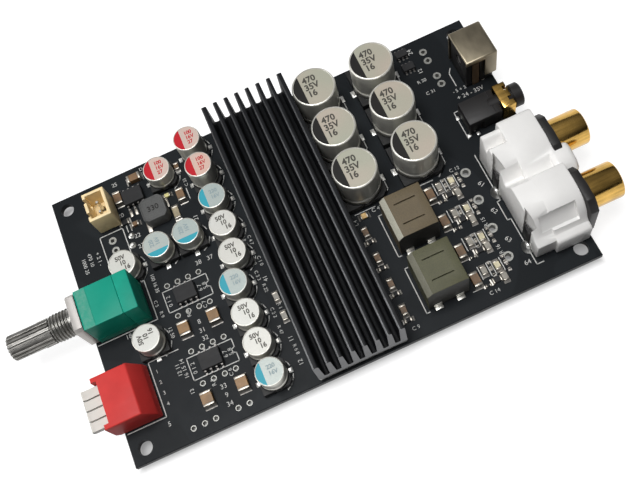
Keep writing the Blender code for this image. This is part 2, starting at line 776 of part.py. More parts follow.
def make_power_socket():
    """Folded metal cover over a black insulator with a bore and a centre pin."""
    front, back, places = power_base()
    half = power_width / 2
    cover = block((back, -half, seat + 0.0006), (front, half, power_height))
    hollow = block((back - 0.001, -half + power_wall, -0.001), (front - power_wall, half - power_wall,
                                                               power_height - power_wall))
    window = rod(power_bore_radius + slip, front - 0.002, front + 0.002, 24, "X", (0.0, power_axis))
    side_window = block((back - 0.001, -half * 2, -0.001), (front - 0.0030, -half * 0.5, power_height - 0.0012))
    cover = cut(cover, hollow, window, side_window)
    add_part("power_socket_cover", cover, at(0, power_y), nickel_dull)
    gap = power_wall + slip
    body = block((back + 0.0003, -half + gap, seat), (front - gap, half - gap, power_height - gap))
    bore = rod(power_bore_radius, back + 0.0016, front + 0.001, 24, "X", (0.0, power_axis))
    stem = rod(power_pin_radius + slip, back - 0.001, front, 12, "X", (0.0, power_axis))
    body = cut(body, bore, stem)
    legs = [shifted(lead(x, y - power_y, 0.0010), z=seat) for x, y in places]
    body = add(body, together(legs))
    add_part("power_socket_body", body, at(0, power_y), black_plastic)
    pin = turned([(0.0, -0.0008), (power_pin_radius * 0.5, -0.0008), (power_pin_radius, -0.0014),
                  (power_pin_radius, -power_length + gap + 0.0006), (0.0, -power_length + gap + 0.0006)][::-1], 12)
    pin.transform(Matrix.Rotation(pi / 2, 4, "Y"))
    face_outwards(pin)
    add_part("power_socket_pin", pin, at(front - gap, power_y, power_axis), nickel)


def make_mini_socket():
    """Black body, a gold bracket folded over its front, and a round nose."""
    front = board_length - mini_front
    back = front - mini_length
    half = mini_width / 2
    axis = mini_height / 2 + seat
    body = block((back, -half, seat), (front, half, mini_height), 0.0003)
    neck = rod(mini_neck_radius, front - 0.0005, board_length + 0.0002, 20, "X", (0.0, axis))
    nose = rod(mini_nose_radius, board_length, board_length + mini_reach, 24, "X", (0.0, axis + 0.0004))
    bore = rod(mini_bore_radius * 0.6, back + 0.002, board_length + 0.0002, 16, "X", (0.0, axis))
    mouth = rod(mini_bore_radius, board_length - 0.0001, board_length + 0.01, 16, "X", (0.0, axis))
    body = cut(add(body, neck, nose), bore, mouth)
    legs = [shifted(lead(x, y - mini_y, 0.0010), z=seat) for x, y in mini_leads()]
    body = add(body, together(legs))
    add_part("audio_socket_body", body, at(0, mini_y), black_plastic)
    low = front + slip
    top = mini_height + 2 * mini_fold
    collar = block((low, -half, seat), (low + mini_bracket, half, top))
    inner = half - mini_fold
    hollow = block((low - 0.001, -inner, -0.001), (low + mini_bracket - mini_fold, inner, top - mini_fold))
    arch = mini_neck_radius + slip
    window = rod(arch, low + mini_bracket / 2, low + mini_bracket * 2, 20, "X", (0.0, axis))
    gate = block((low + mini_bracket / 2, -arch, -0.001), (low + mini_bracket * 2, arch, axis))
    collar = cut(collar, hollow, add(window, gate))
    add_part("audio_socket_collar", collar, at(0, mini_y), gold)


def phono_section(height, margin):
    """Section of the twin housing as (y, z): each half has a square far top and a sloping near top."""
    half = phono_width / 2 - margin
    middle = 0.0
    return [(-half, 0.0), (half, 0.0), (half, height), (middle + phono_slope, height),
            (middle, height - phono_slope * 0.75), (middle - 0.0004, height), (-half + phono_slope, height),
            (-half, phono_shoulder)]


def make_phono_sockets():
    """White twin housing, two black front flanges and two gold barrels."""
    edge = board_length
    back = edge - phono_length
    step = back + phono_step
    front = edge - flange_thickness / 2
    housing = extruded(phono_section(phono_height - seat, 0.0), step, front, "X")
    rear = extruded(phono_section(phono_rear_height - seat, 0.0012), back, step + 0.0001, "X")
    housing = add(housing, rear)
    bores = []
    notches = []
    rows = [side * phono_pitch / 2 for side in (-1, 1)]
    for y in rows:
        bores.append(rod(barrel_radius * 0.62 + slip, front - 0.0055, front + 0.002, 20, "X", (y, phono_axis - seat)))
        notches.append(block((back - 0.001, y - 0.0008, -0.001), (back + 0.0010, y + 0.0008, 0.0060)))
    housing = cut(housing, together(bores), together(notches))
    legs = [lead(x, y - phono_y, 0.0010) for x, y in phono_leads()]
    housing = add(housing, together(legs))
    add_part("phono_housing", housing, at(0, phono_y, seat), white_plastic)

    low = front + slip
    high = low + flange_thickness
    half = flange_width / 2
    nip = 0.0022
    outline = [(-half, 0.0), (half, 0.0), (half, flange_height - nip), (half - nip, flange_height),
               (-half + nip, flange_height), (-half, flange_height - nip)]
    flange = extruded(outline, 0.0, flange_thickness, "X")
    stem = barrel_radius * 0.62
    flange = cut(flange, rod(stem + slip, -0.01, 0.01, 20, "X", (0.0, phono_axis - seat)))
    tip = edge + barrel_reach
    root = high + slip
    profile = [(0.0, front - 0.0050), (stem, front - 0.0050), (stem, root), (barrel_radius, root),
               (barrel_radius, tip - 0.0005), (barrel_radius - 0.0005, tip), (barrel_recess, tip),
               (barrel_recess - 0.0003, tip - 0.0010), (barrel_bore, tip - 0.0010), (barrel_bore, tip - 0.0070),
               (0.0, tip - 0.0070)]
    barrel = turned([(radius, x - root) for radius, x in profile], 24, "X")
    for index, y in enumerate(rows):
        add_part(f"phono_flange_{index + 1}", flange.copy(), at(low, phono_y + y, seat), black_plastic)
        add_part(f"phono_barrel_{index + 1}", barrel.copy(), at(root, phono_y + y, phono_axis), gold)


clear_scene()
parts = make_collection("audio_amplifier_board")
cutters = make_collection("cutters")
black_mask = make_material("black_mask", (0.012, 0.013, 0.015), 0.45)
black_anodised = make_material("black_anodised", (0.012, 0.013, 0.014), 0.35, 0.6)
black_epoxy = make_material("black_epoxy", (0.015, 0.015, 0.016), 0.6)
black_plastic = make_material("black_plastic", (0.01, 0.01, 0.01), 0.5)
thermal_grey = make_material("thermal_grey", (0.35, 0.36, 0.38), 0.8)
aluminium = make_material("aluminium", (0.75, 0.74, 0.71), 0.35, 0.9)
ferrite = make_material("ferrite", (0.13, 0.13, 0.09), 0.7)
nickel = make_material("nickel", (0.62, 0.61, 0.58), 0.3, 1.0)
nickel_dull = make_material("nickel_dull", (0.34, 0.31, 0.26), 0.4, 0.9)
tinned = make_material("tinned", (0.7, 0.7, 0.68), 0.3, 1.0)
gold = make_material("gold", (0.75, 0.52, 0.16), 0.25, 1.0)
green_plastic = make_material("green_plastic", (0.0, 0.36, 0.24), 0.4)
red_plastic = make_material("red_plastic", (0.55, 0.03, 0.03), 0.45)
white_plastic = make_material("white_plastic", (0.85, 0.87, 0.88), 0.4)
ivory_plastic = make_material("ivory_plastic", (0.72, 0.56, 0.36), 0.5)

make_board()
make_heatsink()
make_large_capacitors()
make_small_capacitors()
make_inductors()
make_chips()
make_volume_control()
make_piano_switch()
make_header()
make_power_socket()
make_mini_socket()
make_phono_sockets()
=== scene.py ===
# Looks of the audio amplifier board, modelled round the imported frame.
import random
from math import atan2, cos, degrees, hypot, pi, radians, sin

import bpy
from mathutils import Matrix, Vector


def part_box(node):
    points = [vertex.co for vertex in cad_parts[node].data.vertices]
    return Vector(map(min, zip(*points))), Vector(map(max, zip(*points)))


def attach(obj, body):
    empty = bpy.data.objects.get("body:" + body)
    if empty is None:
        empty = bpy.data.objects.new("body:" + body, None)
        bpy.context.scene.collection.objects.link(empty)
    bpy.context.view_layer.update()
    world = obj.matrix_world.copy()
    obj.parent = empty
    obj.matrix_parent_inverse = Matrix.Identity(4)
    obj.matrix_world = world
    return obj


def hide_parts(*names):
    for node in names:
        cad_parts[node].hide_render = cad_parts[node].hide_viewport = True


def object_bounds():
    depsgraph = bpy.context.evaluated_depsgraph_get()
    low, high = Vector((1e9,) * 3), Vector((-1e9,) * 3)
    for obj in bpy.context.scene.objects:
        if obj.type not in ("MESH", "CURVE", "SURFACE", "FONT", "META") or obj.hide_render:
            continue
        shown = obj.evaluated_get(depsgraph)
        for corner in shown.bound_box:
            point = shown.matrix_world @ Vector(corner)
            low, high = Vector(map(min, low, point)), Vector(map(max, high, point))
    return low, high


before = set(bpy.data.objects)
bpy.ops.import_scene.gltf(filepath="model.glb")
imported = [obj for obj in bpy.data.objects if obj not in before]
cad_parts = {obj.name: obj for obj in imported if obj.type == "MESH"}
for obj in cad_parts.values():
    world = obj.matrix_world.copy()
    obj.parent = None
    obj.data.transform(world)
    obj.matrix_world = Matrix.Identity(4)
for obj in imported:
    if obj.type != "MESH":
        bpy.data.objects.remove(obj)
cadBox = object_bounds()
dice = random.Random(7)
mm = 0.001

# the board's near left corner and its top face, which every place below is given from, in mm
board = {"thickness": 1.6, "edge": 0.12, "mountHole": 1.6, "mountInset": 3.2, "leadTail": 1.9}
boardLow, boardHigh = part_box("circuit_board")
deck = boardLow.z + board["thickness"] * mm
boardLength = (boardHigh.x - boardLow.x) / mm
boardWidth = (boardHigh.y - boardLow.y) / mm


def spot(x, y, z=0.0):
    return Vector((boardLow.x + x * mm, boardLow.y + y * mm, deck + z * mm))


def nodeBox(node):
    # a node's corners in the board's own millimetres
    low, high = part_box(node)
    corner = Vector((boardLow.x, boardLow.y, deck))
    return (low - corner) / mm, (high - corner) / mm


def middleOf(node):
    low, high = nodeBox(node)
    return (low + high) / 2


# modelling helpers: everything is made in board millimetres, and put to its place at the end

def clearSelection():
    if bpy.context.object and bpy.context.object.mode != "OBJECT":
        bpy.ops.object.mode_set(mode="OBJECT")
    bpy.ops.object.select_all(action="DESELECT")


def activate(piece):
    clearSelection()
    piece.select_set(True)
    bpy.context.view_layer.objects.active = piece


def discard(*pieces):
    for piece in pieces:
        bpy.data.objects.remove(piece, do_unlink=True)


def boxPiece(name, one, two):
    # a block between two opposite corners, in either order
    clearSelection()
    middle = [(a + b) / 2 for a, b in zip(one, two)]
    size = [abs(b - a) for a, b in zip(one, two)]
    bpy.ops.mesh.primitive_cube_add(size=1, location=middle, scale=size)
    piece = bpy.context.object
    piece.name = name
    bpy.ops.object.transform_apply(location=True, rotation=True, scale=True)
    return piece


def rodPiece(name, radius, low, high, steps=32, axis="Z", centre=(0.0, 0.0)):
    # a closed round bar along an axis; centre is given on the two other axes, in their order
    clearSelection()
    middle = (low + high) / 2
    place = {"Z": (*centre, middle), "X": (middle, *centre), "Y": (centre[0], middle, centre[1])}[axis]
    turn = {"Z": (0, 0, 0), "X": (0, pi / 2, 0), "Y": (pi / 2, 0, 0)}[axis]
    bpy.ops.mesh.primitive_cylinder_add(vertices=steps, radius=radius, depth=high - low, location=place,
                                        rotation=turn)
    piece = bpy.context.object
    piece.name = name
    bpy.ops.object.transform_apply(location=True, rotation=True, scale=True)
    return piece


def pick(piece, test, kind="FACE"):
    # leaves edit mode on with the faces or edges whose middle and direction pass the test
    activate(piece)
    bpy.ops.object.mode_set(mode="EDIT")
    bpy.ops.mesh.select_mode(type=kind)
    bpy.ops.mesh.select_all(action="DESELECT")
    bpy.ops.object.mode_set(mode="OBJECT")
    mesh = piece.data
    if kind == "FACE":
        for face in mesh.polygons:
            face.select = bool(test(face.center, face.normal))
    else:
        for edge in mesh.edges:
            one, two = (mesh.vertices[i].co for i in edge.vertices)
            edge.select = bool(test((one + two) / 2, (two - one).normalized()))
    bpy.ops.object.mode_set(mode="EDIT")


def editAll(piece):
    activate(piece)
    bpy.ops.object.mode_set(mode="EDIT")
    bpy.ops.mesh.select_all(action="SELECT")


def extrudeBy(offset):
    bpy.ops.mesh.extrude_region_move(TRANSFORM_OT_translate={"value": offset})


def done():
    bpy.ops.object.mode_set(mode="OBJECT")


def bevelEdges(piece, width, segments=2, angle=30, test=None):
    # rounds the edges sharper than the angle, or those that the test picks
    if test:
        pick(piece, test, "EDGE")
    else:
        activate(piece)
        bpy.ops.object.mode_set(mode="EDIT")
        bpy.ops.mesh.select_mode(type="EDGE")
        bpy.ops.mesh.select_all(action="DESELECT")
        bpy.ops.mesh.edges_select_sharp(sharpness=radians(angle))
    bpy.ops.mesh.bevel(offset=width, segments=segments, affect="EDGES", clamp_overlap=True)
    done()
    return piece


def softBox(name, one, two, width, segments=2, finish=None):
    # a block with rounded edges
    piece = bevelEdges(boxPiece(name, one, two), width, segments)
    return paint(piece, finish) if finish else piece


def nipped(u0, v0, u1, v1, nip):
    # the outline of a rectangle with its four corners cut off
    return [(u0 + nip, v0), (u1 - nip, v0), (u1, v0 + nip), (u1, v1 - nip), (u1 - nip, v1), (u0 + nip, v1),
            (u0, v1 - nip), (u0, v0 + nip)]


def turnedPiece(name, profile, steps=48, axis="Z", centre=(0.0, 0.0), closed=False):
    # a profile of (radius, height) spun round its axis; a closed one makes a ring
    clearSelection()
    count = len(profile)
    edges = [(i, (i + 1) % count) for i in range(count if closed else count - 1)]
    mesh = bpy.data.meshes.new(name)
    mesh.from_pydata([(radius, 0, height) for radius, height in profile], edges, [])
    piece = bpy.data.objects.new(name, mesh)
    bpy.context.scene.collection.objects.link(piece)
    editAll(piece)
    bpy.ops.mesh.spin(steps=steps, angle=2 * pi, center=(0, 0, 0), axis=(0, 0, 1))
    bpy.ops.mesh.select_all(action="SELECT")
    bpy.ops.mesh.remove_doubles(threshold=0.0005)
    bpy.ops.mesh.normals_make_consistent(inside=False)
    done()
    if axis == "X":
        piece.rotation_euler = (0, pi / 2, 0)
        piece.location = (0, *centre)
    else:
        piece.location = (*centre, 0)
    bpy.ops.object.transform_apply(location=True, rotation=True)
    return piece


def outlinePiece(name, points, low, high, axis="Z"):
    # a flat outline filled and given thickness; on X the points are (y, z), on Y they are (x, z)
    clearSelection()
    lift = {"Z": lambda u, v: (u, v, low), "X": lambda u, v: (low, u, v), "Y": lambda u, v: (u, low, v)}[axis]
    mesh = bpy.data.meshes.new(name)
    mesh.from_pydata([lift(u, v) for u, v in points], [], [tuple(range(len(points)))])
    piece = bpy.data.objects.new(name, mesh)
    bpy.context.scene.collection.objects.link(piece)
    editAll(piece)
    depth = high - low
    extrudeBy({"Z": (0, 0, depth), "X": (depth, 0, 0), "Y": (0, depth, 0)}[axis])
    bpy.ops.mesh.select_all(action="SELECT")
    bpy.ops.mesh.normals_make_consistent(inside=False)
    done()
    return piece


def combine(piece, operation, tools):
    # adds the tools to the piece or takes them out of it
    for tool in tools:
        activate(piece)
        bpy.ops.object.modifier_add(type="BOOLEAN")
        carve = piece.modifiers[-1]
        carve.operation = operation
        carve.solver = "EXACT"
        carve.object = tool
        bpy.ops.object.modifier_apply(modifier=carve.name)
        discard(tool)


def cutAway(piece, *tools):
    combine(piece, "DIFFERENCE", tools)


def mergeIn(piece, *tools):
    combine(piece, "UNION", tools)


def joined(name, items):
    # several shapes held in one piece
    clearSelection()
    for item in items:
        item.select_set(True)
    bpy.context.view_layer.objects.active = items[0]
    if len(items) > 1:
        bpy.ops.object.join()
    piece = bpy.context.object
    piece.name = name
    return piece


def moved(piece, x=0.0, y=0.0, z=0.0, turn=0.0):
    piece.data.transform(Matrix.Translation((x, y, z)) @ Matrix.Rotation(radians(turn), 4, "Z"))
    return piece


def copied(piece, x=0.0, y=0.0, z=0.0, turn=0.0, name=None):
    twin = piece.copy()
    twin.data = piece.data.copy()
    twin.name = name or piece.name
    bpy.context.scene.collection.objects.link(twin)
    return moved(twin, x, y, z, turn)


def paint(piece, finish, test=None):
    # gives the whole piece a finish, or only the faces that pass the test
    slots = piece.data.materials
    if finish.material.name not in [m.name for m in slots]:
        slots.append(finish.material)
    index = [m.name for m in slots].index(finish.material.name)
    for face in piece.data.polygons:
        if test is None or test(face.center, face.normal):
            face.material_index = index
    return piece


def settle(piece, slotName, finish=None, body="board", nodes=(), angle=35):
    # from board millimetres to its place in the frame, then its finish, body and nodes
    place = Matrix.Translation(spot(0, 0)) @ Matrix.Diagonal((mm, mm, mm, 1))
    piece.data.transform(place)
    activate(piece)
    bpy.ops.object.shade_smooth_by_angle(angle=radians(angle))
    if finish:
        paint(piece, finish)
    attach(piece, body)
    if nodes:
        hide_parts(*nodes)


# finishes: shader maths is written as expressions on sockets

class Wire:
    # a socket that can be added to, multiplied and compared
    def __init__(self, web, socket):
        self.web = web
        self.socket = socket

    def maths(self, operation, one, two):
        return self.web.node("Math", {"operation": operation}, {0: one, 1: two})

    def __add__(self, other):
        return self.maths("ADD", self, other)

    def __sub__(self, other):
        return self.maths("SUBTRACT", self, other)

    def __rsub__(self, other):
        return self.maths("SUBTRACT", other, self)

    def __mul__(self, other):
        return self.maths("MULTIPLY", self, other)

    def __gt__(self, other):
        return self.maths("GREATER_THAN", self, other)

    __radd__ = __add__
    __rmul__ = __mul__


class Web:
    # a node tree whose nodes all come from one method
    def __init__(self, tree):
        self.tree = tree

    def node(self, kind, settings=None, inputs=None, output=0):
        made = self.tree.nodes.new("ShaderNode" + kind)
        for key, value in (settings or {}).items():
            if key == "stops":
                while len(made.color_ramp.elements) < len(value):
                    made.color_ramp.elements.new(0.5)
                for element, (position, grey) in zip(made.color_ramp.elements, value):
                    element.position = position
                    element.color = (*grey, 1) if isinstance(grey, tuple) else (grey, grey, grey, 1)
            else:
                setattr(made, key, value)
        for key, value in (inputs or {}).items():
            self.feed(made, key, value)
        return Wire(self, made.outputs[output])

    def feed(self, node, socket, value):
        if isinstance(value, Wire):
            self.tree.links.new(value.socket, node.inputs[socket])
        else:
            node.inputs[socket].default_value = value


class Finish(Web):
    # a material, with short ways to make the nodes that all of them use
    def __init__(self, name, colour, roughness, metallic=0.0, level=0.5):
        self.material = bpy.data.materials.new(name)
        self.material.use_nodes = True
        super().__init__(self.material.node_tree)
        self.shader = self.tree.nodes["Principled BSDF"]
        self.set("Base Color", (*colour, 1))
        self.set("Roughness", roughness)
        self.set("Metallic", metallic)
        self.set("Specular IOR Level", level)

    def set(self, socket, value):
        self.feed(self.shader, socket, value)

    def along(self, axis):
        place = self.node("TexCoord", output="Object")
        return self.node("SeparateXYZ", None, {0: place}, output=axis)

    def noise(self, size, stretch=(1, 1, 1), detail=3.0, seed=0.0):
        # spots about size mm across, drawn out along an axis by stretch
        scale = tuple(1 / (size * mm * s) for s in stretch)
        place = self.node("TexCoord", output="Object")
        place = self.node("Mapping", None, {"Vector": place, "Scale": scale, "Location": (seed, seed, seed)})
        inputs = {"Vector": place, "Scale": 1.0, "Detail": detail, "Roughness": 0.6}
        return self.node("TexNoise", None, inputs)

    def ramp(self, value, *stops):
        return self.node("ValToRGB", {"stops": stops}, {0: value})

    def mix(self, mask, one, two):
        inputs = {0: mask, 6: one, 7: two}
        for key in (6, 7):
            if isinstance(inputs[key], tuple):
                inputs[key] = (*inputs[key], 1)
        return self.node("Mix", {"data_type": "RGBA"}, inputs, output=2)

    def bump(self, height, strength, depth):
        inputs = {"Height": height, "Strength": strength, "Distance": depth * mm}
        self.set("Normal", self.node("Bump", None, inputs))


def shaded(colour, factor):
    return tuple(min(1.0, part * factor) for part in colour)


def mouldedFinish(name, colour, roughness, cloud=6.0, shade=0.12, grain=0.12, depth=0.02, level=0.5):
    # plastic or lacquer: soft clouding in its colour, a fine grain, and rubbed streaks in its gloss
    finish = Finish(name, colour, roughness, level=level)
    clouds = finish.ramp(finish.noise(cloud), (0.35, 0.0), (0.65, 1.0))
    specks = finish.noise(grain, detail=2.0, seed=3.0)
    tone = clouds * 0.75 + specks * 0.25
    finish.set("Base Color", finish.mix(tone, shaded(colour, 1 - shade), shaded(colour, 1 + shade)))
    rubsAndGlintStreaks = finish.noise(cloud * 0.4, stretch=(3, 0.6, 1), seed=9.0)
    finish.set("Roughness", rubsAndGlintStreaks * 0.2 + (roughness - 0.1))
    finish.bump(specks, 0.35, depth)
    return finish


def metalFinish(name, colour, roughness, stretch=(1, 1, 1), streak=0.5, shade=0.15, depth=0.008, metallic=1.0,
                level=0.5):
    # rolled, drawn or plated metal: streaks one way, a patchy gloss and small dents
    finish = Finish(name, colour, roughness, metallic=metallic, level=level)
    streaks = finish.noise(streak, stretch=stretch, detail=4.0)
    patches = finish.noise(4.0, seed=5.0)
    tone = finish.ramp(streaks * 0.6 + patches * 0.4, (0.35, 0.0), (0.65, 1.0))
    finish.set("Base Color", finish.mix(tone, shaded(colour, 1 - shade), shaded(colour, 1 + shade)))
    finish.set("Roughness", tone * 0.12 + (roughness - 0.06))
    finish.bump(streaks, 0.4, depth)
    return finish


def laminateFinish():
    # black solder mask: copper fill shows through it as slightly paler, raised areas with a weave below
    finish = Finish("solderMask", (0.012, 0.013, 0.015), 0.40, level=0.08)
    pour = finish.ramp(finish.noise(9.0, stretch=(1, 1.6, 1), detail=0.0), (0.47, 0.0), (0.50, 1.0))
    warp = finish.noise(0.45, stretch=(1, 4, 1), detail=1.0)
    weft = finish.noise(0.45, stretch=(4, 1, 1), detail=1.0)
    weave = warp * 0.5 + weft * 0.5
    tone = pour * 0.7 + weave * 0.3
    finish.set("Base Color", finish.mix(tone, (0.0110, 0.0130, 0.0148), (0.0150, 0.0176, 0.0200)))
    finish.set("Roughness", finish.noise(2.2, detail=4.0) * 0.16 + 0.34)
    finish.bump(pour * 0.8 + weave * 0.2, 0.35, 0.015)
    return finish


def printFinish(name, colour, roughness=0.6, gaps=0.30):
    # screen printed ink, thinner in spots
    finish = Finish(name, colour, roughness, level=0.2)
    thin = finish.ramp(finish.noise(0.35, detail=4.0), (gaps, 1.0), (gaps + 0.15, 0.0))
    finish.set("Base Color", finish.mix(thin, colour, shaded(colour, 0.45)))
    finish.bump(thin, 0.3, 0.01)
    return finish


def lacquerFinish(name, one, two, roughness=0.42):
    # the printed top of a can: its tone drifts from can to can, with a fine speckle
    finish = Finish(name, one, roughness, metallic=0.15)
    drift = finish.ramp(finish.noise(13.0, detail=1.0, seed=2.0), (0.38, 0.0), (0.62, 1.0))
    specks = finish.noise(0.18, detail=3.0)
    tone = finish.mix(drift, one, two)
    finish.set("Base Color", finish.mix(finish.ramp(specks, (0.3, 0.0), (0.8, 0.5)), tone, shaded(one, 0.72)))
    finish.set("Roughness", specks * 0.2 + (roughness - 0.1))
    finish.bump(specks, 0.3, 0.01)
    return finish


def ferriteFinish(name, colour):
    # pressed iron powder: dark and pale grains under a matt resin
    finish = Finish(name, colour, 0.62)
    grains = finish.ramp(finish.noise(0.16, detail=4.0), (0.35, 0.0), (0.7, 1.0))
    clouds = finish.noise(3.0, seed=4.0)
    tone = grains * 0.6 + clouds * 0.4
    finish.set("Base Color", finish.mix(tone, shaded(colour, 0.6), shaded(colour, 1.45)))
    finish.set("Roughness", grains * 0.2 + 0.5)
    finish.bump(grains, 0.5, 0.03)
    return finish


def paintedFinGlint():
    # a painted highlight: a pale glint along one top edge of each fin, more so towards the near end, broken
    # into streaks
    finish = Finish("finGlintPaint", (0.10, 0.10, 0.11), 0.40, metallic=0.2)
    near = finish.node("MapRange", None, {0: finish.along("Y"), 1: 0.034, 2: -0.034})
    rubsAndGlintStreaks = finish.ramp(finish.noise(1.2, stretch=(1, 6, 1), detail=4.0), (0.3, 0.35), (0.7, 1.0))
    wearAndGlint = rubsAndGlintStreaks * (near * 0.92 + 0.08)
    finish.set("Base Color", finish.mix(wearAndGlint, (0.015, 0.016, 0.018), (0.20, 0.205, 0.21)))
    finish.set("Roughness", rubsAndGlintStreaks * 0.15 + 0.28)
    finish.bump(rubsAndGlintStreaks, 0.3, 0.01)
    return finish


def labelFinish():
    # the control's front moulding, with a worn pale print across its top next to the plate
    finish = Finish("printedGreen", (0.006, 0.300, 0.208), 0.45, level=0.18)
    low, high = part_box("control_front_section")
    along, up = finish.along("X"), finish.along("Z")
    zone = (along > low.x + 0.3 * mm) * (1 - (along > low.x + 2.6 * mm)) * (up > high.z - 0.15 * mm)
    wearAndGlint = finish.ramp(finish.noise(0.8, detail=4.0), (0.35, 0.25), (0.65, 0.75))
    clouds = finish.mix(finish.noise(5.0), (0.005, 0.275, 0.190), (0.007, 0.330, 0.228))
    finish.set("Base Color", finish.mix(zone * wearAndGlint * 0.45, clouds, (0.28, 0.42, 0.35)))
    finish.set("Roughness", finish.noise(2.0, seed=9.0) * 0.2 + 0.3)
    finish.bump(finish.noise(0.12, detail=2.0) + zone * 0.5, 0.35, 0.02)
    return finish


maskFinish = laminateFinish()
silkFinish = printFinish("whitePrint", (0.55, 0.55, 0.53))
darkInk = printFinish("darkInk", (0.075, 0.070, 0.060), gaps=0.25)
blackInk = printFinish("blackInk", (0.016, 0.015, 0.014), 0.45, gaps=0.12)
redInk = printFinish("redInk", (0.50, 0.012, 0.022), 0.45, gaps=0.12)
blueInk = printFinish("turquoiseInk", (0.040, 0.35, 0.44), 0.45, gaps=0.12)
solderFinish = metalFinish("solder", (0.72, 0.72, 0.69), 0.40, streak=0.6, shade=0.06, depth=0.003)
tinFinish = metalFinish("tinPlate", (0.60, 0.59, 0.55), 0.36, streak=0.6, shade=0.08, depth=0.002)
anodFinish = metalFinish("blackAnodised", (0.0140, 0.0146, 0.0162), 0.42, stretch=(0.4, 12, 0.4), streak=0.35,
                         shade=0.25, depth=0.003, metallic=0.1, level=0.10)
sawnFinish = metalFinish("sawnEnd", (0.075, 0.077, 0.082), 0.42, stretch=(6, 1, 0.3), streak=0.3,
                         metallic=0.8)
canFinish = metalFinish("drawnAluminium", (0.70, 0.69, 0.63), 0.40, stretch=(1, 1, 6), streak=1.0, shade=0.05,
                        depth=0.001, metallic=0.72)
greyTop = lacquerFinish("greyLacquer", (0.50, 0.44, 0.360), (0.42, 0.43, 0.340))
pinkTop = lacquerFinish("pinkLacquer", (0.68, 0.47, 0.39), (0.62, 0.50, 0.44))
blueTop = lacquerFinish("blueGreyLacquer", (0.39, 0.45, 0.43), (0.43, 0.47, 0.44))
whiteTop = lacquerFinish("whiteLacquer", (0.62, 0.62, 0.58), (0.59, 0.58, 0.53))
baseFinish = mouldedFinish("baseMoulding", (0.016, 0.016, 0.016), 0.5, level=0.25)
epoxyFinish = mouldedFinish("chipEpoxy", (0.020, 0.020, 0.021), 0.55, cloud=3.0, grain=0.08, level=0.25)
legFinish = metalFinish("dullTin", (0.22, 0.21, 0.20), 0.45, streak=0.6, shade=0.08, depth=0.002)
capFinish = metalFinish("chipEnd", (0.44, 0.41, 0.36), 0.40, streak=0.4, shade=0.3, depth=0.003)
beadFinish = metalFinish("chipSolder", (0.42, 0.40, 0.37), 0.44, streak=0.5, shade=0.35, depth=0.004)
lampFinish = mouldedFinish("yellowLens", (0.66, 0.60, 0.26), 0.35, cloud=1.0)
tanFinish = mouldedFinish("tanBody", (0.36, 0.30, 0.19), 0.5, cloud=1.5, shade=0.3)
amberFinish = mouldedFinish("amberLens", (0.62, 0.40, 0.15), 0.35, cloud=1.0)
padFinish = metalFinish("padTin", (0.31, 0.31, 0.29), 0.52, streak=0.8, shade=0.18, depth=0.003)
blueGreyInk = printFinish("blueGreyInk", (0.26, 0.33, 0.35), gaps=0.2)
stripFinish = ferriteFinish("paleFerrite", (0.46, 0.45, 0.37))
thermalFinish = mouldedFinish("thermalPad", (0.35, 0.36, 0.38), 0.8)
oliveFerrite = ferriteFinish("oliveFerrite", (0.086, 0.085, 0.042))
brownFerrite = ferriteFinish("brownFerrite", (0.120, 0.091, 0.048))
# a darker ferrite, painted on the inductors' end faces as shade
shadedEndFerrite = ferriteFinish("paintedShadeFerrite", (0.030, 0.029, 0.025))
duskFinish = ferriteFinish("duskFerrite", (0.20, 0.195, 0.15))
darkFerrite = ferriteFinish("darkFerrite", (0.075, 0.076, 0.074))
ceramicFinish = mouldedFinish("brownCeramic", (0.245, 0.130, 0.040), 0.45, cloud=2.0, shade=0.25, grain=0.1)
umberCeramic = mouldedFinish("umberCeramic", (0.170, 0.095, 0.042), 0.45, cloud=2.0, shade=0.3, grain=0.1)
creamFinish = mouldedFinish("creamCeramic", (0.62, 0.56, 0.38), 0.45, cloud=2.0, shade=0.2, grain=0.1)
greyCeramic = mouldedFinish("greyCeramic", (0.30, 0.28, 0.24), 0.45, cloud=2.0, shade=0.2, grain=0.1)
greenFinish = mouldedFinish("greenMoulding", (0.006, 0.300, 0.208), 0.48, cloud=5.0, shade=0.10, level=0.18)
labelGreen = labelFinish()
redFinish = mouldedFinish("redMoulding", (0.60, 0.040, 0.036), 0.48, cloud=6.0, shade=0.08, level=0.18)
leverFinish = mouldedFinish("leverMoulding", (0.61, 0.59, 0.54), 0.42, shade=0.06)
ivoryFinish = mouldedFinish("ivoryMoulding", (0.86, 0.68, 0.38), 0.45, cloud=4.0, shade=0.12)
blackFinish = mouldedFinish("blackMoulding", (0.016, 0.015, 0.015), 0.45, level=0.3)
whiteFinish = mouldedFinish("whiteMoulding", (0.80, 0.79, 0.77), 0.40, shade=0.03, level=0.35)
plateFinish = metalFinish("platedSteel", (0.44, 0.42, 0.40), 0.46, stretch=(1, 1, 3), streak=1.6, shade=0.06,
                          depth=0.001, metallic=0.8)
# painted highlight for the left top edges of the fins
finGlintFinish = paintedFinGlint()
shaftFinish = metalFinish("zincAlloy", (0.26, 0.255, 0.24), 0.38, stretch=(8, 1, 1), streak=0.4, shade=0.45)
coverFinish = metalFinish("dullNickel", (0.27, 0.235, 0.170), 0.42, stretch=(1, 3, 1), streak=2.0, shade=0.12,
                          depth=0.002)
# dark brown nickel, its darkness painted shade for the socket's hollow
shadedSheetFinish = metalFinish("shadedNickel", (0.16, 0.105, 0.060), 0.5, streak=1.5, depth=0.002, metallic=0.5)
# its strong dark streaks along the barrels' axis are partly plating streaks and partly painted reflection
# bands
goldFinish = metalFinish("goldPlate", (0.62, 0.385, 0.105), 0.17, stretch=(12, 1, 1), streak=0.9, shade=0.32)
print("finishes made")


# the board: laminate, plated holes, solder, print

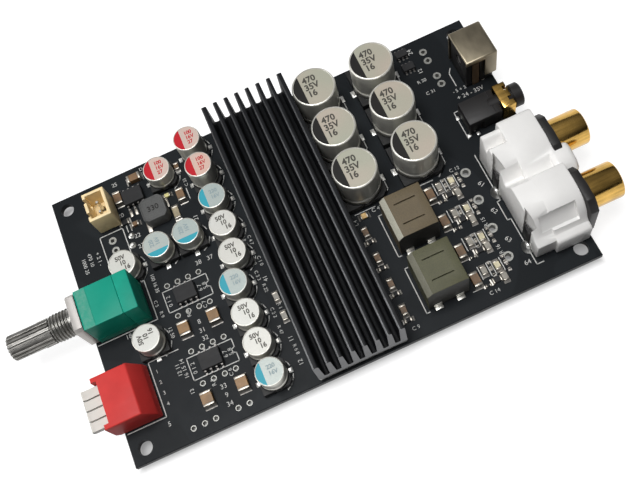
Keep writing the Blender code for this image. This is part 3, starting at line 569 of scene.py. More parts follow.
footprints = {"dilX": 22.83, "dilRows": (14.49, 30.93), "pitch": 2.54, "rowSpan": 7.62,
              "edgeHoles": (14.02, 16.56, 19.10, 24.18, 26.72), "edgeY": 2.6,
              "outputPads": ((89.4, 29.7), (89.0, 22.6), (88.6, 15.4), (88.6, 8.2)),
              "linkPads": ((94.6, 62.4), (94.6, 59.8), (94.7, 55.1), (94.7, 52.7), (10.9, 50.8),
                           (10.9, 48.2)),
              "dots": ((15.4, 50.0), (14.9, 47.6), (31.6, 20.8), (24.7, 46.0)),
              "signalHole": 0.45, "signalPad": 0.92, "dilPad": 0.64, "outputHole": 0.7, "outputPad": 1.14,
              "leadHole": 0.55, "padHeight": 0.04, "plating": 0.05}
# pins that stay as the frame has them, with the radius of their holes
framePins = {"heatsink_pin_1": 1.1, "heatsink_pin_2": 1.1, "header_pin_1": 0.65, "header_pin_2": 0.65}


def leadPlaces():
    # where trimmed leads pass the board, from the boxes of the nodes that they belong to
    middle, step = middleOf("control_front_section").y, footprints["pitch"]
    rows = (nodeBox("control_front_section")[1].x - 1.6, middleOf("control_rear_section").x)
    places = [(x, middle + side * step) for x in rows for side in (-1, 0, 1)]
    middle, back = middleOf("switch_body").y, nodeBox("switch_body")[1].x - 0.9
    rows = (back, back - footprints["rowSpan"] + 0.8)
    places += [(x, middle + (i - 1.5) * step) for x in rows for i in range(4)]
    middle, front = middleOf("power_socket_cover").y, nodeBox("power_socket_cover")[0].x
    places += [(front + 1.4, middle), (front + 4.6, middle - 3.0)]
    low, high = nodeBox("audio_socket_body")
    places += [(low.x + 1.1, low.y + 1.1), (low.x + 5.8, high.y - 1.1)]
    middle, front = middleOf("phono_housing").y, nodeBox("phono_housing")[0].x
    return places + [(front + x, middle + side * phono["row"]) for x in (1.6, 8.5) for side in (-1, 1)]


def pinPlaces():
    return [(*middleOf(node).xy, hole) for node, hole in framePins.items()]


def narrowPlaces():
    # the dual in line footprints, and the row along the near edge
    places = [(footprints["dilX"] + (i - 1.5) * footprints["pitch"], row + side * footprints["rowSpan"] / 2)
              for row in footprints["dilRows"] for side in (-1, 1) for i in range(4)]
    return places + [(x, footprints["edgeY"]) for x in footprints["edgeHoles"]]


def makeLaminate():
    t, inset, wall = board["thickness"], board["mountInset"], footprints["plating"]
    slab = boxPiece("board_laminate", (0, 0, -t), (boardLength, boardWidth, 0))
    bevelEdges(slab, board["edge"], 1, test=lambda at, way: abs(way.z) < 0.1)
    drills = [rodPiece("drill", board["mountHole"], -3 * t, t, 40, centre=(x, y))
              for x in (inset, boardLength - inset) for y in (inset, boardWidth - inset)]
    holes = [(x, y, footprints["signalHole"] + wall)
             for x, y in narrowPlaces() + list(footprints["linkPads"])]
    holes += [(x, y, footprints["outputHole"] + wall) for x, y in footprints["outputPads"]]
    holes += [(x, y, footprints["leadHole"]) for x, y in leadPlaces()] + pinPlaces()
    drill = rodPiece("drill", 1.0, -3 * t, t, 20)
    for x, y, radius in holes:
        bit = copied(drill)
        bit.data.transform(Matrix.Diagonal((radius, radius, 1, 1)))
        drills.append(moved(bit, x, y))
    discard(drill)
    cutAway(slab, joined("drills", drills))
    settle(slab, "black_mask", maskFinish, nodes=["circuit_board"], angle=30)


def eyelet(hole, pad):
    # a plated hole: a thin tube with a flat ring on each side of the board
    t, h = board["thickness"], footprints["padHeight"]
    wall = hole + footprints["plating"]
    loop = [(hole, -t - h), (pad, -t - h), (pad, -t), (wall, -t), (wall, 0), (pad, 0), (pad, h), (hole, h)]
    return turnedPiece("eyelet", loop, 24, closed=True)


def makePads():
    t, tail = board["thickness"], board["thickness"] + board["leadTail"]
    signal = eyelet(footprints["signalHole"], footprints["signalPad"])
    narrow = eyelet(footprints["signalHole"], footprints["dilPad"])
    output = eyelet(footprints["outputHole"], footprints["outputPad"])
    rings = [copied(signal, x, y) for x, y in footprints["linkPads"]]
    rings += [copied(narrow, x, y) for x, y in narrowPlaces()]
    rings += [copied(output, x, y) for x, y in footprints["outputPads"]]
    # the joint of a trimmed lead under the board, and the solder that shows above it
    joint = turnedPiece("joint", [(0, -t), (0.95, -t), (0.93, -t - 0.05), (0.62, -t - 0.30),
                                  (0.46, -t - 0.62), (0.40, -t - 1.0), (0.34, -t - 1.2),
                                  (0.33, 0.05 - tail), (0.24, -tail), (0, -tail)], 20)
    collar = turnedPiece("collar", [(0, 0.0), (0.8, 0.0), (0.78, 0.05), (0.5, 0.16), (0.36, 0.28),
                                    (0.34, 0.5), (0, 0.5)], 20)
    joints = []
    for x, y in leadPlaces():
        joints += [copied(joint, x, y, turn=dice.uniform(0, 90)), copied(collar, x, y)]
    for x, y, hole in pinPlaces():
        cone = [(hole + 0.5, -t), (hole + 0.48, -t - 0.06), (hole + 0.12, -t - 0.35), (hole - 0.15, -t - 0.7),
                (hole - 0.16, -t)]
        joints.append(turnedPiece("cone", cone, 24, centre=(x, y), closed=True))
    joints += [copied(collar, x, y) for x, y in footprints["dots"]]
    discard(signal, narrow, output, joint, collar)
    settle(joined("plated_pads", rings), "tinned", padFinish)
    settle(joined("lead_joints", joints), "tinned", solderFinish, angle=50)


# print lines as chains of (x, y), traced round the parts that they frame
printLines = {"width": 0.21, "height": 0.03}
printChains = [((0.4, 28.4), (14.6, 28.4), (14.6, 38.6), (13.9, 38.6)),
               ((0.6, 7.3), (9.5, 7.3), (9.5, 20.0), (16.5, 20.0)),
               ((42.2, 0.75), (61.6, 0.75)),
               ((14.0, 42.0), (14.0, 52.8), (8.3, 52.8), (8.3, 42.0)),
               ((94.6, 4.0), (93.1, 4.0), (93.1, 15.6), (92.3, 15.6), (92.3, 20.4), (93.1, 20.4),
                (93.1, 32.6)),
               ((93.8, 37.0), (93.8, 44.4), (102.0, 44.4)),
               ((97.4, 50.6), (97.4, 54.2), (98.2, 55.4)),
               ((68.6, 4.2), (67.9, 4.2), (67.9, 15.2), (68.6, 15.2)),
               ((68.6, 18.2), (67.9, 18.2), (67.9, 28.9), (78.9, 28.9)),
               ((78.6, 4.2), (79.2, 4.2)),
               ((15.0, 51.2), (15.0, 52.8)),
               ((15.9, 51.2), (15.9, 52.8)),
               ((24.6, 58.4), (24.6, 63.2)),
               ((31.0, 52.6), (31.0, 55.4))]


def printPlan():
    chains = list(printChains)
    # the dual in line footprints' frames with their notches
    for low, high in ((12.0, 17.2), (28.5, 33.7)):
        notch = (low + high) / 2
        chains.append(((17.5, low), (28.0, low), (28.0, notch - 0.7), (27.3, notch - 0.35),
                       (27.3, notch + 0.35), (28.0, notch + 0.7), (28.0, high), (17.5, high), (17.5, low)))
    # corners beside the large capacitors, and bars beside the output filter's chips
    for x in (67.0, 81.0):
        for y in (37.1, 48.45, 59.8):
            chains += [((x + 2.9, y - 5.6), (x + 5.6, y - 3.0), (x + 5.6, y - 1.2)),
                       ((x - 3.6, y - 5.7), (x + 1.2, y - 5.7))]
    for x in (81.7, 83.7, 84.7, 86.7):
        chains += [((x, y - 1.5), (x, y + 1.5)) for y in (29.0, 21.8, 14.5, 7.3)]
    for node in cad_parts:
        if node.split("_capacitor_")[0] in smallKinds:
            chains += [arcPoints(middleOf(node), 4.0, first, first + 50, 4) for first in (-65, 15)]
    return chains


def arcPoints(middle, radius, first, last, steps):
    angles = [radians(first + (last - first) * i / steps) for i in range(steps + 1)]
    return [(middle.x + radius * cos(a), middle.y + radius * sin(a)) for a in angles]


def makePrint():
    w, h = printLines["width"], printLines["height"]
    strip = boxPiece("strip", (0, -w / 2, 0), (1, w / 2, h))
    bars = []
    for chain in printPlan():
        for (x, y), (nextX, nextY) in zip(chain, chain[1:]):
            if max(y, nextY) < boardWidth - 0.5:
                run, rise = nextX - x, nextY - y
                length = Matrix.Diagonal((hypot(run, rise) + w, 1, 1, 1))
                bar = copied(strip)
                bar.data.transform(Matrix.Translation((-w / 2, 0, 0)) @ length)
                bars.append(moved(bar, x, y, turn=degrees(atan2(rise, run))))
    discard(strip)
    settle(joined("board_print", bars), "black_mask", silkFinish)


def textPiece(words, size, x, y, z, turn=0.0, thick=0.02, wide=1.0, bold=0.0):
    # flat figures, made a mesh before they are put in place
    clearSelection()
    bpy.ops.object.text_add()
    text = bpy.context.object.data
    text.body = words
    text.size = size
    text.extrude = thick
    text.offset = bold
    text.resolution_u = 3
    text.align_x = "CENTER"
    text.align_y = "CENTER"
    bpy.ops.object.convert(target="MESH")
    piece = bpy.context.object
    piece.data.transform(Matrix.Diagonal((wide, 1, 1, 1)))
    return moved(piece, x, y, z, turn)


# plain figures beside the parts, as words, x and y under their size and turn
printFigures = {
    (1.1, -90): (("R 10", 38.9, 31.6), ("R 22", 38.9, 24.6), ("R 47", 38.4, 14.4), ("C 4 7", 40.0, 36.6),
                 ("R 8 2", 38.7, 36.2), ("C 1 0", 40.2, 31.0), ("C 3 3", 38.4, 28.0),
                 ("R 1 5", 40.3, 19.0), ("C 2 2", 38.5, 18.6), ("R 6 8", 39.9, 9.0), ("C 5", 15.4, 31.9),
                 ("R 9", 15.8, 29.0)),
    (1.1, 90): (("L 4", 62.9, 29.6), ("C 33", 31.4, 57.0)),
    (1.2, -90): (("12 50", 16.4, 24.2), ("100 16 35", 16.6, 36.6)),
    (1.2, 0): (("1", 10.7, 17.3), ("2", 10.7, 14.8), ("3", 10.7, 12.3), ("4", 10.7, 9.8),
               ("- 5 + 2", 97.6, 49.3), ("26", 21.4, 47.4), ("C 12", 87.6, 31.6), ("C 14", 82.6, 2.4),
               ("C 9", 64.6, 2.4), ("R 20", 91.0, 55.4), ("C 31", 91.6, 51.8), ("D 1", 23.2, 65.2)),
    (1.2, 90): (("C 6", 25.4, 10.4), ("R 3", 21.2, 9.9), ("C 7", 25.4, 27.0), ("R 4", 21.4, 26.6),
                ("R 15", 87.8, 17.4), ("R 16", 87.8, 10.4)),
    (1.25, -90): (("1000 35", 3.1, 47.6), ("470 10", 4.7, 48.6)),
    (1.3, -90): (("+ 2 1 -", 6.6, 48.0),),
    (1.3, 0): (("C 42", 68.4, 30.7),),
    (1.3, 90): (("16 15 14", 16.4, 15.4), ("12 11", 15.2, 15.6), ("13", 16.4, 10.0), ("5 8", 26.9, 31.1),
                ("5 8", 26.9, 14.6), ("0 1 2", 18.4, 31.1), ("0 1 2", 18.4, 14.6), ("6 7", 25.7, 31.1),
                ("6 7", 25.7, 14.6)),
    (1.4, 0): (("25", 15.6, 64.2), ("J 2", 11.0, 62.7), ("L 1", 67.2, 35.0)),
    (1.4, 90): (("11", 39.8, 11.6), ("12", 39.8, 6.0), ("41", 39.8, 26.6), ("12", 91.9, 58.0)),
    (1.5, -62): (("61", 91.2, 25.7), ("62", 90.8, 18.8), ("63", 90.4, 11.6)),
    (1.5, 0): (("22", 16.7, 49.4), ("23", 16.7, 46.6), ("18", 7.4, 27.4), ("7", 3.0, 39.6),
               ("31", 22.9, 21.7), ("32", 22.9, 19.8), ("8", 22.9, 23.8), ("33", 22.9, 8.2),
               ("34", 22.9, 4.2), ("9", 22.9, 6.2), ("5", 9.6, 5.6), ("64", 91.6, 5.2),
               ("+ 24 - 35V", 99.4, 47.4), ("20", 14.6, 55.9), ("37", 30.2, 36.8), ("38", 27.4, 36.8),
               ("80", 76.0, 31.4)),
    (1.5, 90): (("21", 30.6, 47.4),),
    (1.6, 90): (("24", 91.9, 63.9),)}


def makeFigures():
    h = printLines["height"] / 2
    pieces = [textPiece(words, size, x, y, h, turn, h)
              for (size, turn), figures in printFigures.items() for words, x, y in figures]
    settle(joined("board_figures", pieces), "black_mask", silkFinish)


# heatsink

sink = {"floor": 1.4, "fins": 8, "tip": 1.0, "root": 1.4, "fillet": 0.5, "corner": 0.32, "edge": 0.15}


def sinkOutline(low, high):
    # floor and fins as (x, z): round tips, and a fillet at the foot of each channel
    pitch = (high.x - low.x - sink["root"]) / (sink["fins"] - 1)
    foot, f, r = low.z + sink["floor"], sink["fillet"], sink["corner"]
    points = [(low.x + sink["edge"], low.z), (high.x - sink["edge"], low.z), (high.x, low.z + sink["edge"])]
    for index in reversed(range(sink["fins"])):
        middle = low.x + sink["root"] / 2 + index * pitch
        last, first = index == sink["fins"] - 1, index == 0
        right, left = middle + sink["root"] / 2, middle - sink["root"] / 2
        if not last:
            points += [(right + f * (1 - sin(a)), foot + f * (1 - cos(a)))
                       for a in (0, pi / 6, pi / 3, pi / 2)]
        tipRight = right if last else middle + sink["tip"] / 2
        tipLeft = left if first else middle - sink["tip"] / 2
        for corner, steps in ((tipRight - r, range(5)), (tipLeft + r, range(4, 9))):
            points += [(corner + r * cos(pi * i / 8), high.z - r + r * sin(pi * i / 8)) for i in steps]
        if not first:
            points += [(left - f * (1 - sin(a)), foot + f * (1 - cos(a)))
                       for a in (pi / 2, pi / 3, pi / 6, 0)]
    return points + [(low.x, low.z + sink["edge"])]


def makeHeatsink():
    low, high = nodeBox("heatsink")
    piece = outlinePiece("finned_heatsink", sinkOutline(low, high), low.y, high.y, "Y")
    bores = [rodPiece("bore", 1.2, low.z - 1, low.z + 1.1, 24, centre=(middleOf("heatsink").x, y))
             for y in (low.y + 7.0, high.y - 7.0)]
    cutAway(piece, joined("bores", bores))
    paint(piece, anodFinish)
    # the left top edge of each fin carries the painted highlight
    paint(piece, finGlintFinish, lambda at, way: at.z > high.z - 0.4 and way.x < -0.15 and way.z > 0.1)
    paint(piece, sawnFinish, lambda at, way: abs(way.y) > 0.9)
    settle(piece, "black_anodised", nodes=["heatsink"], angle=30)


# soldered chips, a ceramic body between two wrapped metal ends, on solder: size, length of an end, body

chipKinds = {"large": ((3.2, 2.5, 1.7), 0.55, ceramicFinish), "filter": ((3.2, 1.8, 1.5), 0.55, umberCeramic),
             "small": ((1.7, 1.1, 0.8), 0.36, umberCeramic), "snubber": ((2.3, 1.3, 0.9), 0.46, umberCeramic),
             "amber": ((1.7, 1.3, 0.7), 0.3, amberFinish), "tan": ((3.2, 1.5, 0.6), 0.4, tanFinish),
             "lamp": ((1.6, 1.0, 0.7), 0.3, lampFinish), "cream": ((2.0, 1.25, 0.8), 0.35, creamFinish),
             "grey": ((2.0, 1.25, 0.8), 0.35, greyCeramic), "resistor": ((2.0, 1.25, 0.5), 0.35, epoxyFinish),
             "cross": ((1.7, 0.9, 0.5), 0.45, epoxyFinish), "tiny": ((1.1, 0.6, 0.4), 0.25, epoxyFinish)}
chipPlaces = {"large": ((19.5, 23.4, 90), (26.4, 23.4, 90), (19.0, 6.9, 90), (26.9, 6.9, 90)),
              "filter": ((80.1, 28.0, 90), (80.1, 20.9, 90), (80.1, 13.2, 90), (80.1, 6.2, 90),
                         (29.4, 54.0, 90), (15.5, 60.0, 90), (20.6, 63.3, 0)),
              "small": ((30.8, 61.6, 90), (17.2, 52.2, 0)),
              "snubber": ((63.8, 26.4, 90), (63.7, 19.8, 90), (63.8, 13.2, 90), (63.8, 6.8, 90)),
              "amber": ((65.1, 30.2, 0),),
              "tan": ((26.9, 50.6, 90),),
              "lamp": ((26.3, 55.6, 0),),
              "cream": ((85.7, 29.2, 90), (85.8, 21.8, 90), (85.6, 14.5, 90), (85.6, 7.3, 90)),
              "grey": ((82.7, 29.0, 90), (82.9, 21.8, 90), (82.9, 14.5, 90), (82.6, 7.4, 90),
                       (85.8, 26.0, 90), (85.8, 19.0, 90), (85.8, 12.0, 90), (85.9, 4.5, 90),
                       (40.4, 21.5, 90), (40.4, 16.7, 90)),
              "resistor": ((84.0, 26.5, 0), (84.0, 20.0, 0), (84.0, 12.0, 0), (84.2, 4.5, 0),
                           (15.0, 53.8, 0)),
              "cross": ((63.8, 24.0, 0), (63.7, 17.3, 0), (63.8, 10.8, 0), (63.8, 4.5, 0)),
              "tiny": tuple((x, y + rise, turn) for y in (29.0, 21.8, 14.5, 7.4) for x, rise, turn in
                            ((84.2, 0.6, 90), (84.2, -1.0, 90), (82.0, -3.3, 0), (87.5, 0.7, 90),
                             (87.6, -1.2, 90)))}


def chipShape(kind):
    (length, width, height), end, bodyFinish = chipKinds[kind]
    lift, inner = 0.04, 0.03
    body = boxPiece("body", (-length / 2 + end, -width / 2 + inner, lift + inner),
                    (length / 2 - end, width / 2 - inner, height - inner))
    bevelEdges(body, 0.04, 1, test=lambda at, way: abs(way.x) > 0.9)
    shapes = [paint(body, bodyFinish)]
    rise = min(height * 0.7, 1.0)
    for side in (-1, 1):
        face, inside = side * length / 2, side * (length / 2 - end)
        cap = softBox("cap", (face, -width / 2, lift), (inside, width / 2, height), 0.12, 2, capFinish)
        # solder runs from the pad up the end face
        curve = [(inside, 0), (face + side * 0.5, 0), (face + side * 0.5, 0.05), (face + side * 0.36, 0.10),
                 (face + side * 0.2, rise * 0.35), (face + side * 0.08, rise * 0.7), (face, rise),
                 (inside, 0.06)]
        blob = outlinePiece("solder", curve, -width / 2 - 0.08, width / 2 + 0.08, "Y")
        shapes += [cap, paint(blob, beadFinish)]
    return joined("chip", shapes)


def makeChips():
    for kind, places in chipPlaces.items():
        master = chipShape(kind)
        chips = [copied(master, x, y, turn=turn + 180 * dice.choice((0, 1)) + dice.uniform(-1.5, 1.5))
                 for x, y, turn in places]
        discard(master)
        settle(joined(kind + "_chips", chips), "tinned")


# moulded chips with bent legs: body, legs to a side, their pitch, length and width

mouldedKinds = {"small_outline": ((4.9, 3.9, 1.5), 4, 1.27, 0.95, 0.42),
                "driver": ((3.0, 2.0, 1.1), 3, 0.95, 0.6, 0.4)}
legPadReach = (2.0, 2.0, 0.8, 0.8)


def legShape(length, width, thick, drop):
    # a gull wing leg as (y, z), from the body outwards
    points = [(0, drop), (length * 0.3, drop), (length * 0.55, thick), (length, thick), (length, 0),
              (length * 0.45, 0), (length * 0.2, drop - thick), (0, drop - thick)]
    return paint(outlinePiece("leg", points, -width / 2, width / 2, "X"), legFinish)


def mouldedChip(kind):
    (length, width, height), legs, pitch, legLength, legWidth = mouldedKinds[kind]
    body = boxPiece(kind, (-length / 2, -width / 2, 0.15), (length / 2, width / 2, height))
    pick(body, lambda at, way: way.z > 0.9)
    bpy.ops.transform.resize(value=(1 - 0.16 / length, 1 - 0.16 / width, 1), center_override=(0, 0, height))
    done()
    bevelEdges(body, 0.06, 1)
    cutAway(body, rodPiece("dimple", min(0.35, width * 0.1), height - 0.05, height + 1, 20,
                           centre=(-length / 2 + 0.75, -width / 2 + 0.75)))
    shapes = [paint(body, epoxyFinish)]
    leg = legShape(legLength, legWidth, 0.18, height * 0.5)
    for i in range(legs):
        x = (i - (legs - 1) / 2) * pitch
        shapes += [copied(leg, x, width / 2 - 0.05, 0.03), copied(leg, -x, 0.05 - width / 2, 0.03, turn=180)]
    discard(leg)
    return joined(kind, shapes)


def legPads(at):
    # the converter's solder stands out before its legs, least where the choke is
    pads = []
    for index, reach in enumerate(legPadReach):
        x = at.x + (index - 1.5) * 1.27
        pads.append(softBox("pad", (x - 0.32, at.y - 2.4 - reach, 0.02), (x + 0.32, at.y - 2.4, 0.14), 0.1, 2,
                            capFinish))
    return pads


def makeMouldedChips():
    master = mouldedChip("small_outline")
    for node in ("preamplifier_chip_1", "preamplifier_chip_2", "converter_chip"):
        at = middleOf(node)
        name = node.replace("_chip", "_moulded_chip")
        chip = copied(master, at.x, at.y, nodeBox(node)[0].z - 0.1, name=name)
        if node == "converter_chip":
            chip = joined(name, [chip] + legPads(at))
        settle(chip, "black_epoxy", nodes=[node])
    driver = mouldedChip("driver")
    drivers = [copied(driver, 89.7, y) for y in (60.0, 64.0)]
    discard(master, driver)
    settle(joined("driver_chips", drivers), "black_epoxy")


# wound parts

windings = {"chamfer": 1.2, "bevel": 0.25, "slotDepth": 0.5, "slotWidth": 0.35, "slotOffset": 2.4, "tab": 1.8,
            "tabOffset": 2.5}


def makeInductor(number, topFinish, stripeFinish):
    node = "output_inductor_%d" % number
    low, high = nodeBox(node)
    middle, near, far = middleOf(node), low.y + 1.0, high.y - 1.0
    c, b, w = windings["chamfer"], windings["bevel"], windings["slotWidth"] / 2
    section = [(low.x, low.z + 0.1), (low.x + 0.1, low.z), (high.x - 0.1, low.z), (high.x, low.z + 0.1),
               (high.x, high.z - b), (high.x - b * 0.3, high.z - b * 0.3), (high.x - b, high.z),
               (low.x + c, high.z), (low.x, high.z - c)]
    core = outlinePiece("inductor_core_%d" % number, section, near, far, "Y")
    bevelEdges(core, b, 3,
               test=lambda at, way: (at.y < near + 0.01 or at.y > far - 0.01) and at.z > low.z + 0.3)
    slots = []
    for y in (middle.y - windings["slotOffset"], middle.y + windings["slotOffset"]):
        slots.append(boxPiece("slot", (low.x + 2.3, y - w, high.z - windings["slotDepth"]),
                              (high.x - 2.0, y + w, high.z + 1)))
    cutAway(core, joined("slots", slots))
    paint(core, topFinish)
    paint(core, stripeFinish, lambda at, way: way.x < -0.5 and way.z > 0.5)
    # painted shade: both end faces get a much darker ferrite than the pressed top
    paint(core, shadedEndFerrite, lambda at, way: abs(way.y) > 0.9 and (at.y < near + 0.1 or at.y > far - 0.1))
    settle(core, "ferrite", nodes=[node], angle=25)
    tabs, half = [], windings["tab"] / 2
    for x in (middle.x - windings["tabOffset"], middle.x + windings["tabOffset"]):
        for y, side in ((near, -1), (far, 1)):
            low, high = (x - half, y - side * 0.1, 0.02), (x + half, y + side * 0.95, 0.3)
            tabs.append(softBox("tab", low, high, 0.08))
            low, high = (x - half, y + side * 0.01, 0.2), (x + half, y + side * 0.13, 1.6)
            tabs.append(softBox("riser", low, high, 0.03, 1))
    settle(joined("inductor_tabs_%d" % number, tabs), "tinned", tinFinish)


def makeChoke():
    low, high = nodeBox("converter_choke")
    x, y = middleOf("converter_choke").x + 0.7, middleOf("converter_choke").y - 0.7
    half, nip = (high.x - low.x) / 2, (high.x - low.x) * 0.16
    choke = outlinePiece("choke_core", nipped(x - half, y - half, x + half, y + half, nip), low.z, high.z)
    pick(choke, lambda at, way: way.z > 0.9)
    bpy.ops.mesh.inset(thickness=0.25, depth=0)
    bpy.ops.mesh.inset(thickness=0.12, depth=-0.12)
    done()
    bevelEdges(choke, 0.18, 2, test=lambda at, way: at.z > high.z - 0.01 and abs(way.z) < 0.1)
    value = textPiece("330", 1.9, x, y, high.z - 0.1, bold=0.03)
    shapes = [paint(choke, darkFerrite), paint(value, blackInk)]
    for side in (-1, 1):
        middle = x + side * (half - 0.1)
        shapes.append(softBox("tab", (middle - 0.5, y + side * (half - 2.4), 0.02),
                              (middle + 0.5, y + side * (half + 0.7), 0.32), 0.1, 2, capFinish))
    settle(joined("choke_core", shapes), "ferrite", nodes=["converter_choke"])


# can capacitors: drawn can, printed top, base and leads

cans = {"rim": 0.36, "topDrop": 0.10, "ink": 0.035}
largeKind = {"top": greyTop, "mark": blackInk, "share": 0.5, "size": 2.2, "ink": darkInk,
             "words": (("470", -0.30, 2.15), ("35V", -0.30, 0.22), ("16", -0.80, -1.65))}
smallKinds = {"red": {"top": pinkTop, "mark": redInk, "share": 0.36, "size": 1.3, "ink": redInk,
                      "words": (("100", 0.75, 1.25), ("16V", 0.85, 0.0), ("27", 0.6, -1.25))},
              "blue": {"top": blueTop, "mark": blueInk, "share": 0.43, "size": 1.3, "ink": blueGreyInk,
                       "words": (("220", 0.6, 0.9), ("16V", 0.7, -0.5))},
              "white": {"top": whiteTop, "mark": whiteTop, "share": 0.5, "size": 1.5, "ink": darkInk,
                        "words": (("50V", -0.1, 1.25), ("10", 0.2, -0.1), ("16", 0.9, -1.4))}}


def canPiece(radius, low, high, steps):
    rim, bead, foot = cans["rim"] * radius / 5, radius * 0.075, low + radius * 0.42
    top, neck = high - cans["topDrop"], radius - bead
    profile = [(0, top), (radius - rim * 1.25, top), (radius - rim * 1.1, high - cans["topDrop"] * 0.3)]
    profile += [(radius - rim + rim * sin(a), high - rim + rim * cos(a))
                for a in (0, 0.3, 0.6, 0.9, 1.2, pi / 2)]
    profile += [(radius, foot + 0.5), (radius - bead * 0.5, foot + 0.36), (neck, foot + 0.16),
                (neck, foot - 0.04), (radius - bead * 0.5, foot - 0.24), (radius, foot - 0.38),
                (radius, low + 0.35), (radius - 0.1, low + 0.1), (radius - 0.35, low), (0, low)]
    return paint(turnedPiece("can", profile, steps), canFinish)


def topPrint(kind, radius, height, steps):
    # the lacquered disc of a top, its polarity segment cut off by a chord, and figures printed on the rest
    level, chord = height - cans["topDrop"], -radius * kind["share"]
    disc = rodPiece("disc", radius - cans["rim"] * radius / 5 * 1.12, level, level + cans["ink"], steps)
    editAll(disc)
    bpy.ops.mesh.bisect(plane_co=(chord, 0, 0), plane_no=(1, 0, 0))
    done()
    paint(disc, kind["top"])
    shapes = [paint(disc, kind["mark"], lambda at, way: at.x < chord)]
    for words, x, y in kind["words"]:
        word = textPiece(words, kind["size"], x, y, level + 0.04, 0, 0.012, 0.95, kind["size"] * 0.032)
        shapes.append(paint(word, kind["ink"]))
    return joined("top", shapes)


def baseShape(size, height, plinth, radius):
    # moulded base: two cut corners, a round seat for the can, and side gaps where the leads come out
    half, nip = size / 2, size * 0.14
    outline = [(-half, -half), (half - nip, -half), (half, -half + nip), (half, half - nip),
               (half - nip, half), (-half, half)]
    base = outlinePiece("base", outline, 0, height)
    cutAway(base, rodPiece("seat", radius + 0.2, plinth, height * 2, 40))
    gates = [boxPiece("gate", (side * half - 0.8, -0.9, plinth), (side * half + 0.8, 0.9, height * 2))
             for side in (-1, 1)]
    cutAway(base, joined("gates", gates))
    bevelEdges(base, 0.08, 1)
    shapes = [paint(base, baseFinish)]
    for side in (-1, 1):
        edge, lead, fillet = side * half, size * 0.06, size * 0.085
        shapes.append(softBox("lead", (edge - side, -lead, -0.24), (edge + side * 0.5, lead, 0.02), 0.05, 1,
                              tinFinish))
        slope = boxPiece("fillet", (edge - side * 0.2, -fillet, -0.28), (edge + side * 0.9, fillet, -0.16))
        pick(slope, lambda at, way: way.z > 0.9)
        bpy.ops.transform.resize(value=(0.8, 0.8, 1), center_override=(edge, 0, 0))
        done()
        shapes.append(paint(slope, solderFinish))
    return joined("base", shapes)


def makeLargeCapacitors():
    low, high = nodeBox("large_capacitor_can_1")
    radius = (high.x - low.x) / 2
    can = canPiece(radius, low.z, high.z, 56)
    top = topPrint(largeKind, radius, high.z, 48)
    low, high = nodeBox("large_capacitor_base_1")
    base = baseShape(high.y - low.y, high.z - 0.3, 0.7, radius)
    for number in range(1, 7):
        node = "large_capacitor_can_%d" % number
        at = middleOf(node)
        shapes = [copied(can, at.x, at.y, turn=dice.uniform(0, 6)), copied(top, at.x, at.y)]
        settle(joined("large_can_%d" % number, shapes), "aluminium", nodes=[node])
        foot = copied(base, at.x, at.y, 0.3, name="large_base_%d" % number)
        settle(foot, "base_plastic", nodes=["large_capacitor_base_%d" % number])
    discard(can, top, base)


def makeSmallCapacitor(node, colour):
    low, high = nodeBox(node)
    size = min(high.x - low.x, high.y - low.y)
    radius = size / 2 - 0.15
    shapes = [canPiece(radius, 1.0, high.z, 40), topPrint(smallKinds[colour], radius, high.z, 40),
              moved(baseShape(size, 1.4, 0.5, radius), z=0.3)]
    whole = joined(node.replace("_capacitor_", "_can_"), shapes)
    # the flat leads stand out along the way that the base is turned
    moved(whole, *middleOf(node).xy, turn=0 if high.x - low.x > high.y - low.y else 90)
    settle(whole, colour + "_capacitor", nodes=[node])


def makeSmallCapacitors():
    for colour in smallKinds:
        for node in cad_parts:
            if node.startswith(colour + "_capacitor_"):
                makeSmallCapacitor(node, colour)


# volume control: plate and threaded bush, two sections, splined shaft

control = {"axis": 6.5, "plateFront": -0.65, "plateWidth": 9.0, "plateTop": 10.1, "plateCorner": 0.7,
           "threadPitch": 0.74, "threadDepth": 0.48, "bush": 3.2, "bore": 2.5, "bevel": 0.16,
           "step": (2.5, 2.7), "teeth": 18, "toothDepth": 0.42, "slot": 1.0, "slotDepth": 7.0,
           "slotTurn": 25, "shaft": 3.0, "neck": 2.2}


def makeControlPlate():
    low, high = nodeBox("control_bush_plate")
    axis = (middleOf("control_bush_plate").y, middleOf("control_shaft").z)
    front, back, half = control["plateFront"], high.x + 0.2, control["plateWidth"] / 2
    outline = nipped(axis[0] - half, low.z, axis[0] + half, control["plateTop"], control["plateCorner"])
    plate = outlinePiece("control_plate", outline, front, back, "X")
    bevelEdges(plate, 0.14, 2, test=lambda at, way: abs(way.x) < 0.1)
    bush, bore, pitch = control["bush"], control["bore"], control["threadPitch"]
    cutAway(plate, rodPiece("bore", bore, front - 1, back + 1, 40, "X", axis))
    # the bush: a shoulder, then rounded threads, then a plain chamfered end round the shaft
    crest, valley = bush - 0.04, bush - control["threadDepth"]
    run = low.x + 0.3
    loop = [(bore, back - 0.1), (bore, low.x + 0.25), (2.75, low.x), (bush - 0.35, low.x), (bush - 0.1, run)]
    while run + pitch < front - 0.5:
        loop += [(valley, run + pitch * 0.35), (valley, run + pitch * 0.5), (crest, run + pitch * 0.88),
                 (crest, run + pitch)]
        run += pitch
    loop += [(bush - 0.3, run + 0.12), (bush - 0.3, front - 0.25), (bush + 0.35, front - 0.05),
             (bush + 0.35, front + 0.1), (2.7, front + 0.1), (2.7, back - 0.1)]
    thread = turnedPiece("thread", loop, 56, "X", axis, closed=True)
    shapes = [paint(plate, plateFinish), paint(thread, shaftFinish)]
    settle(joined("control_plate", shapes), "nickel", nodes=["control_bush_plate"], angle=28)


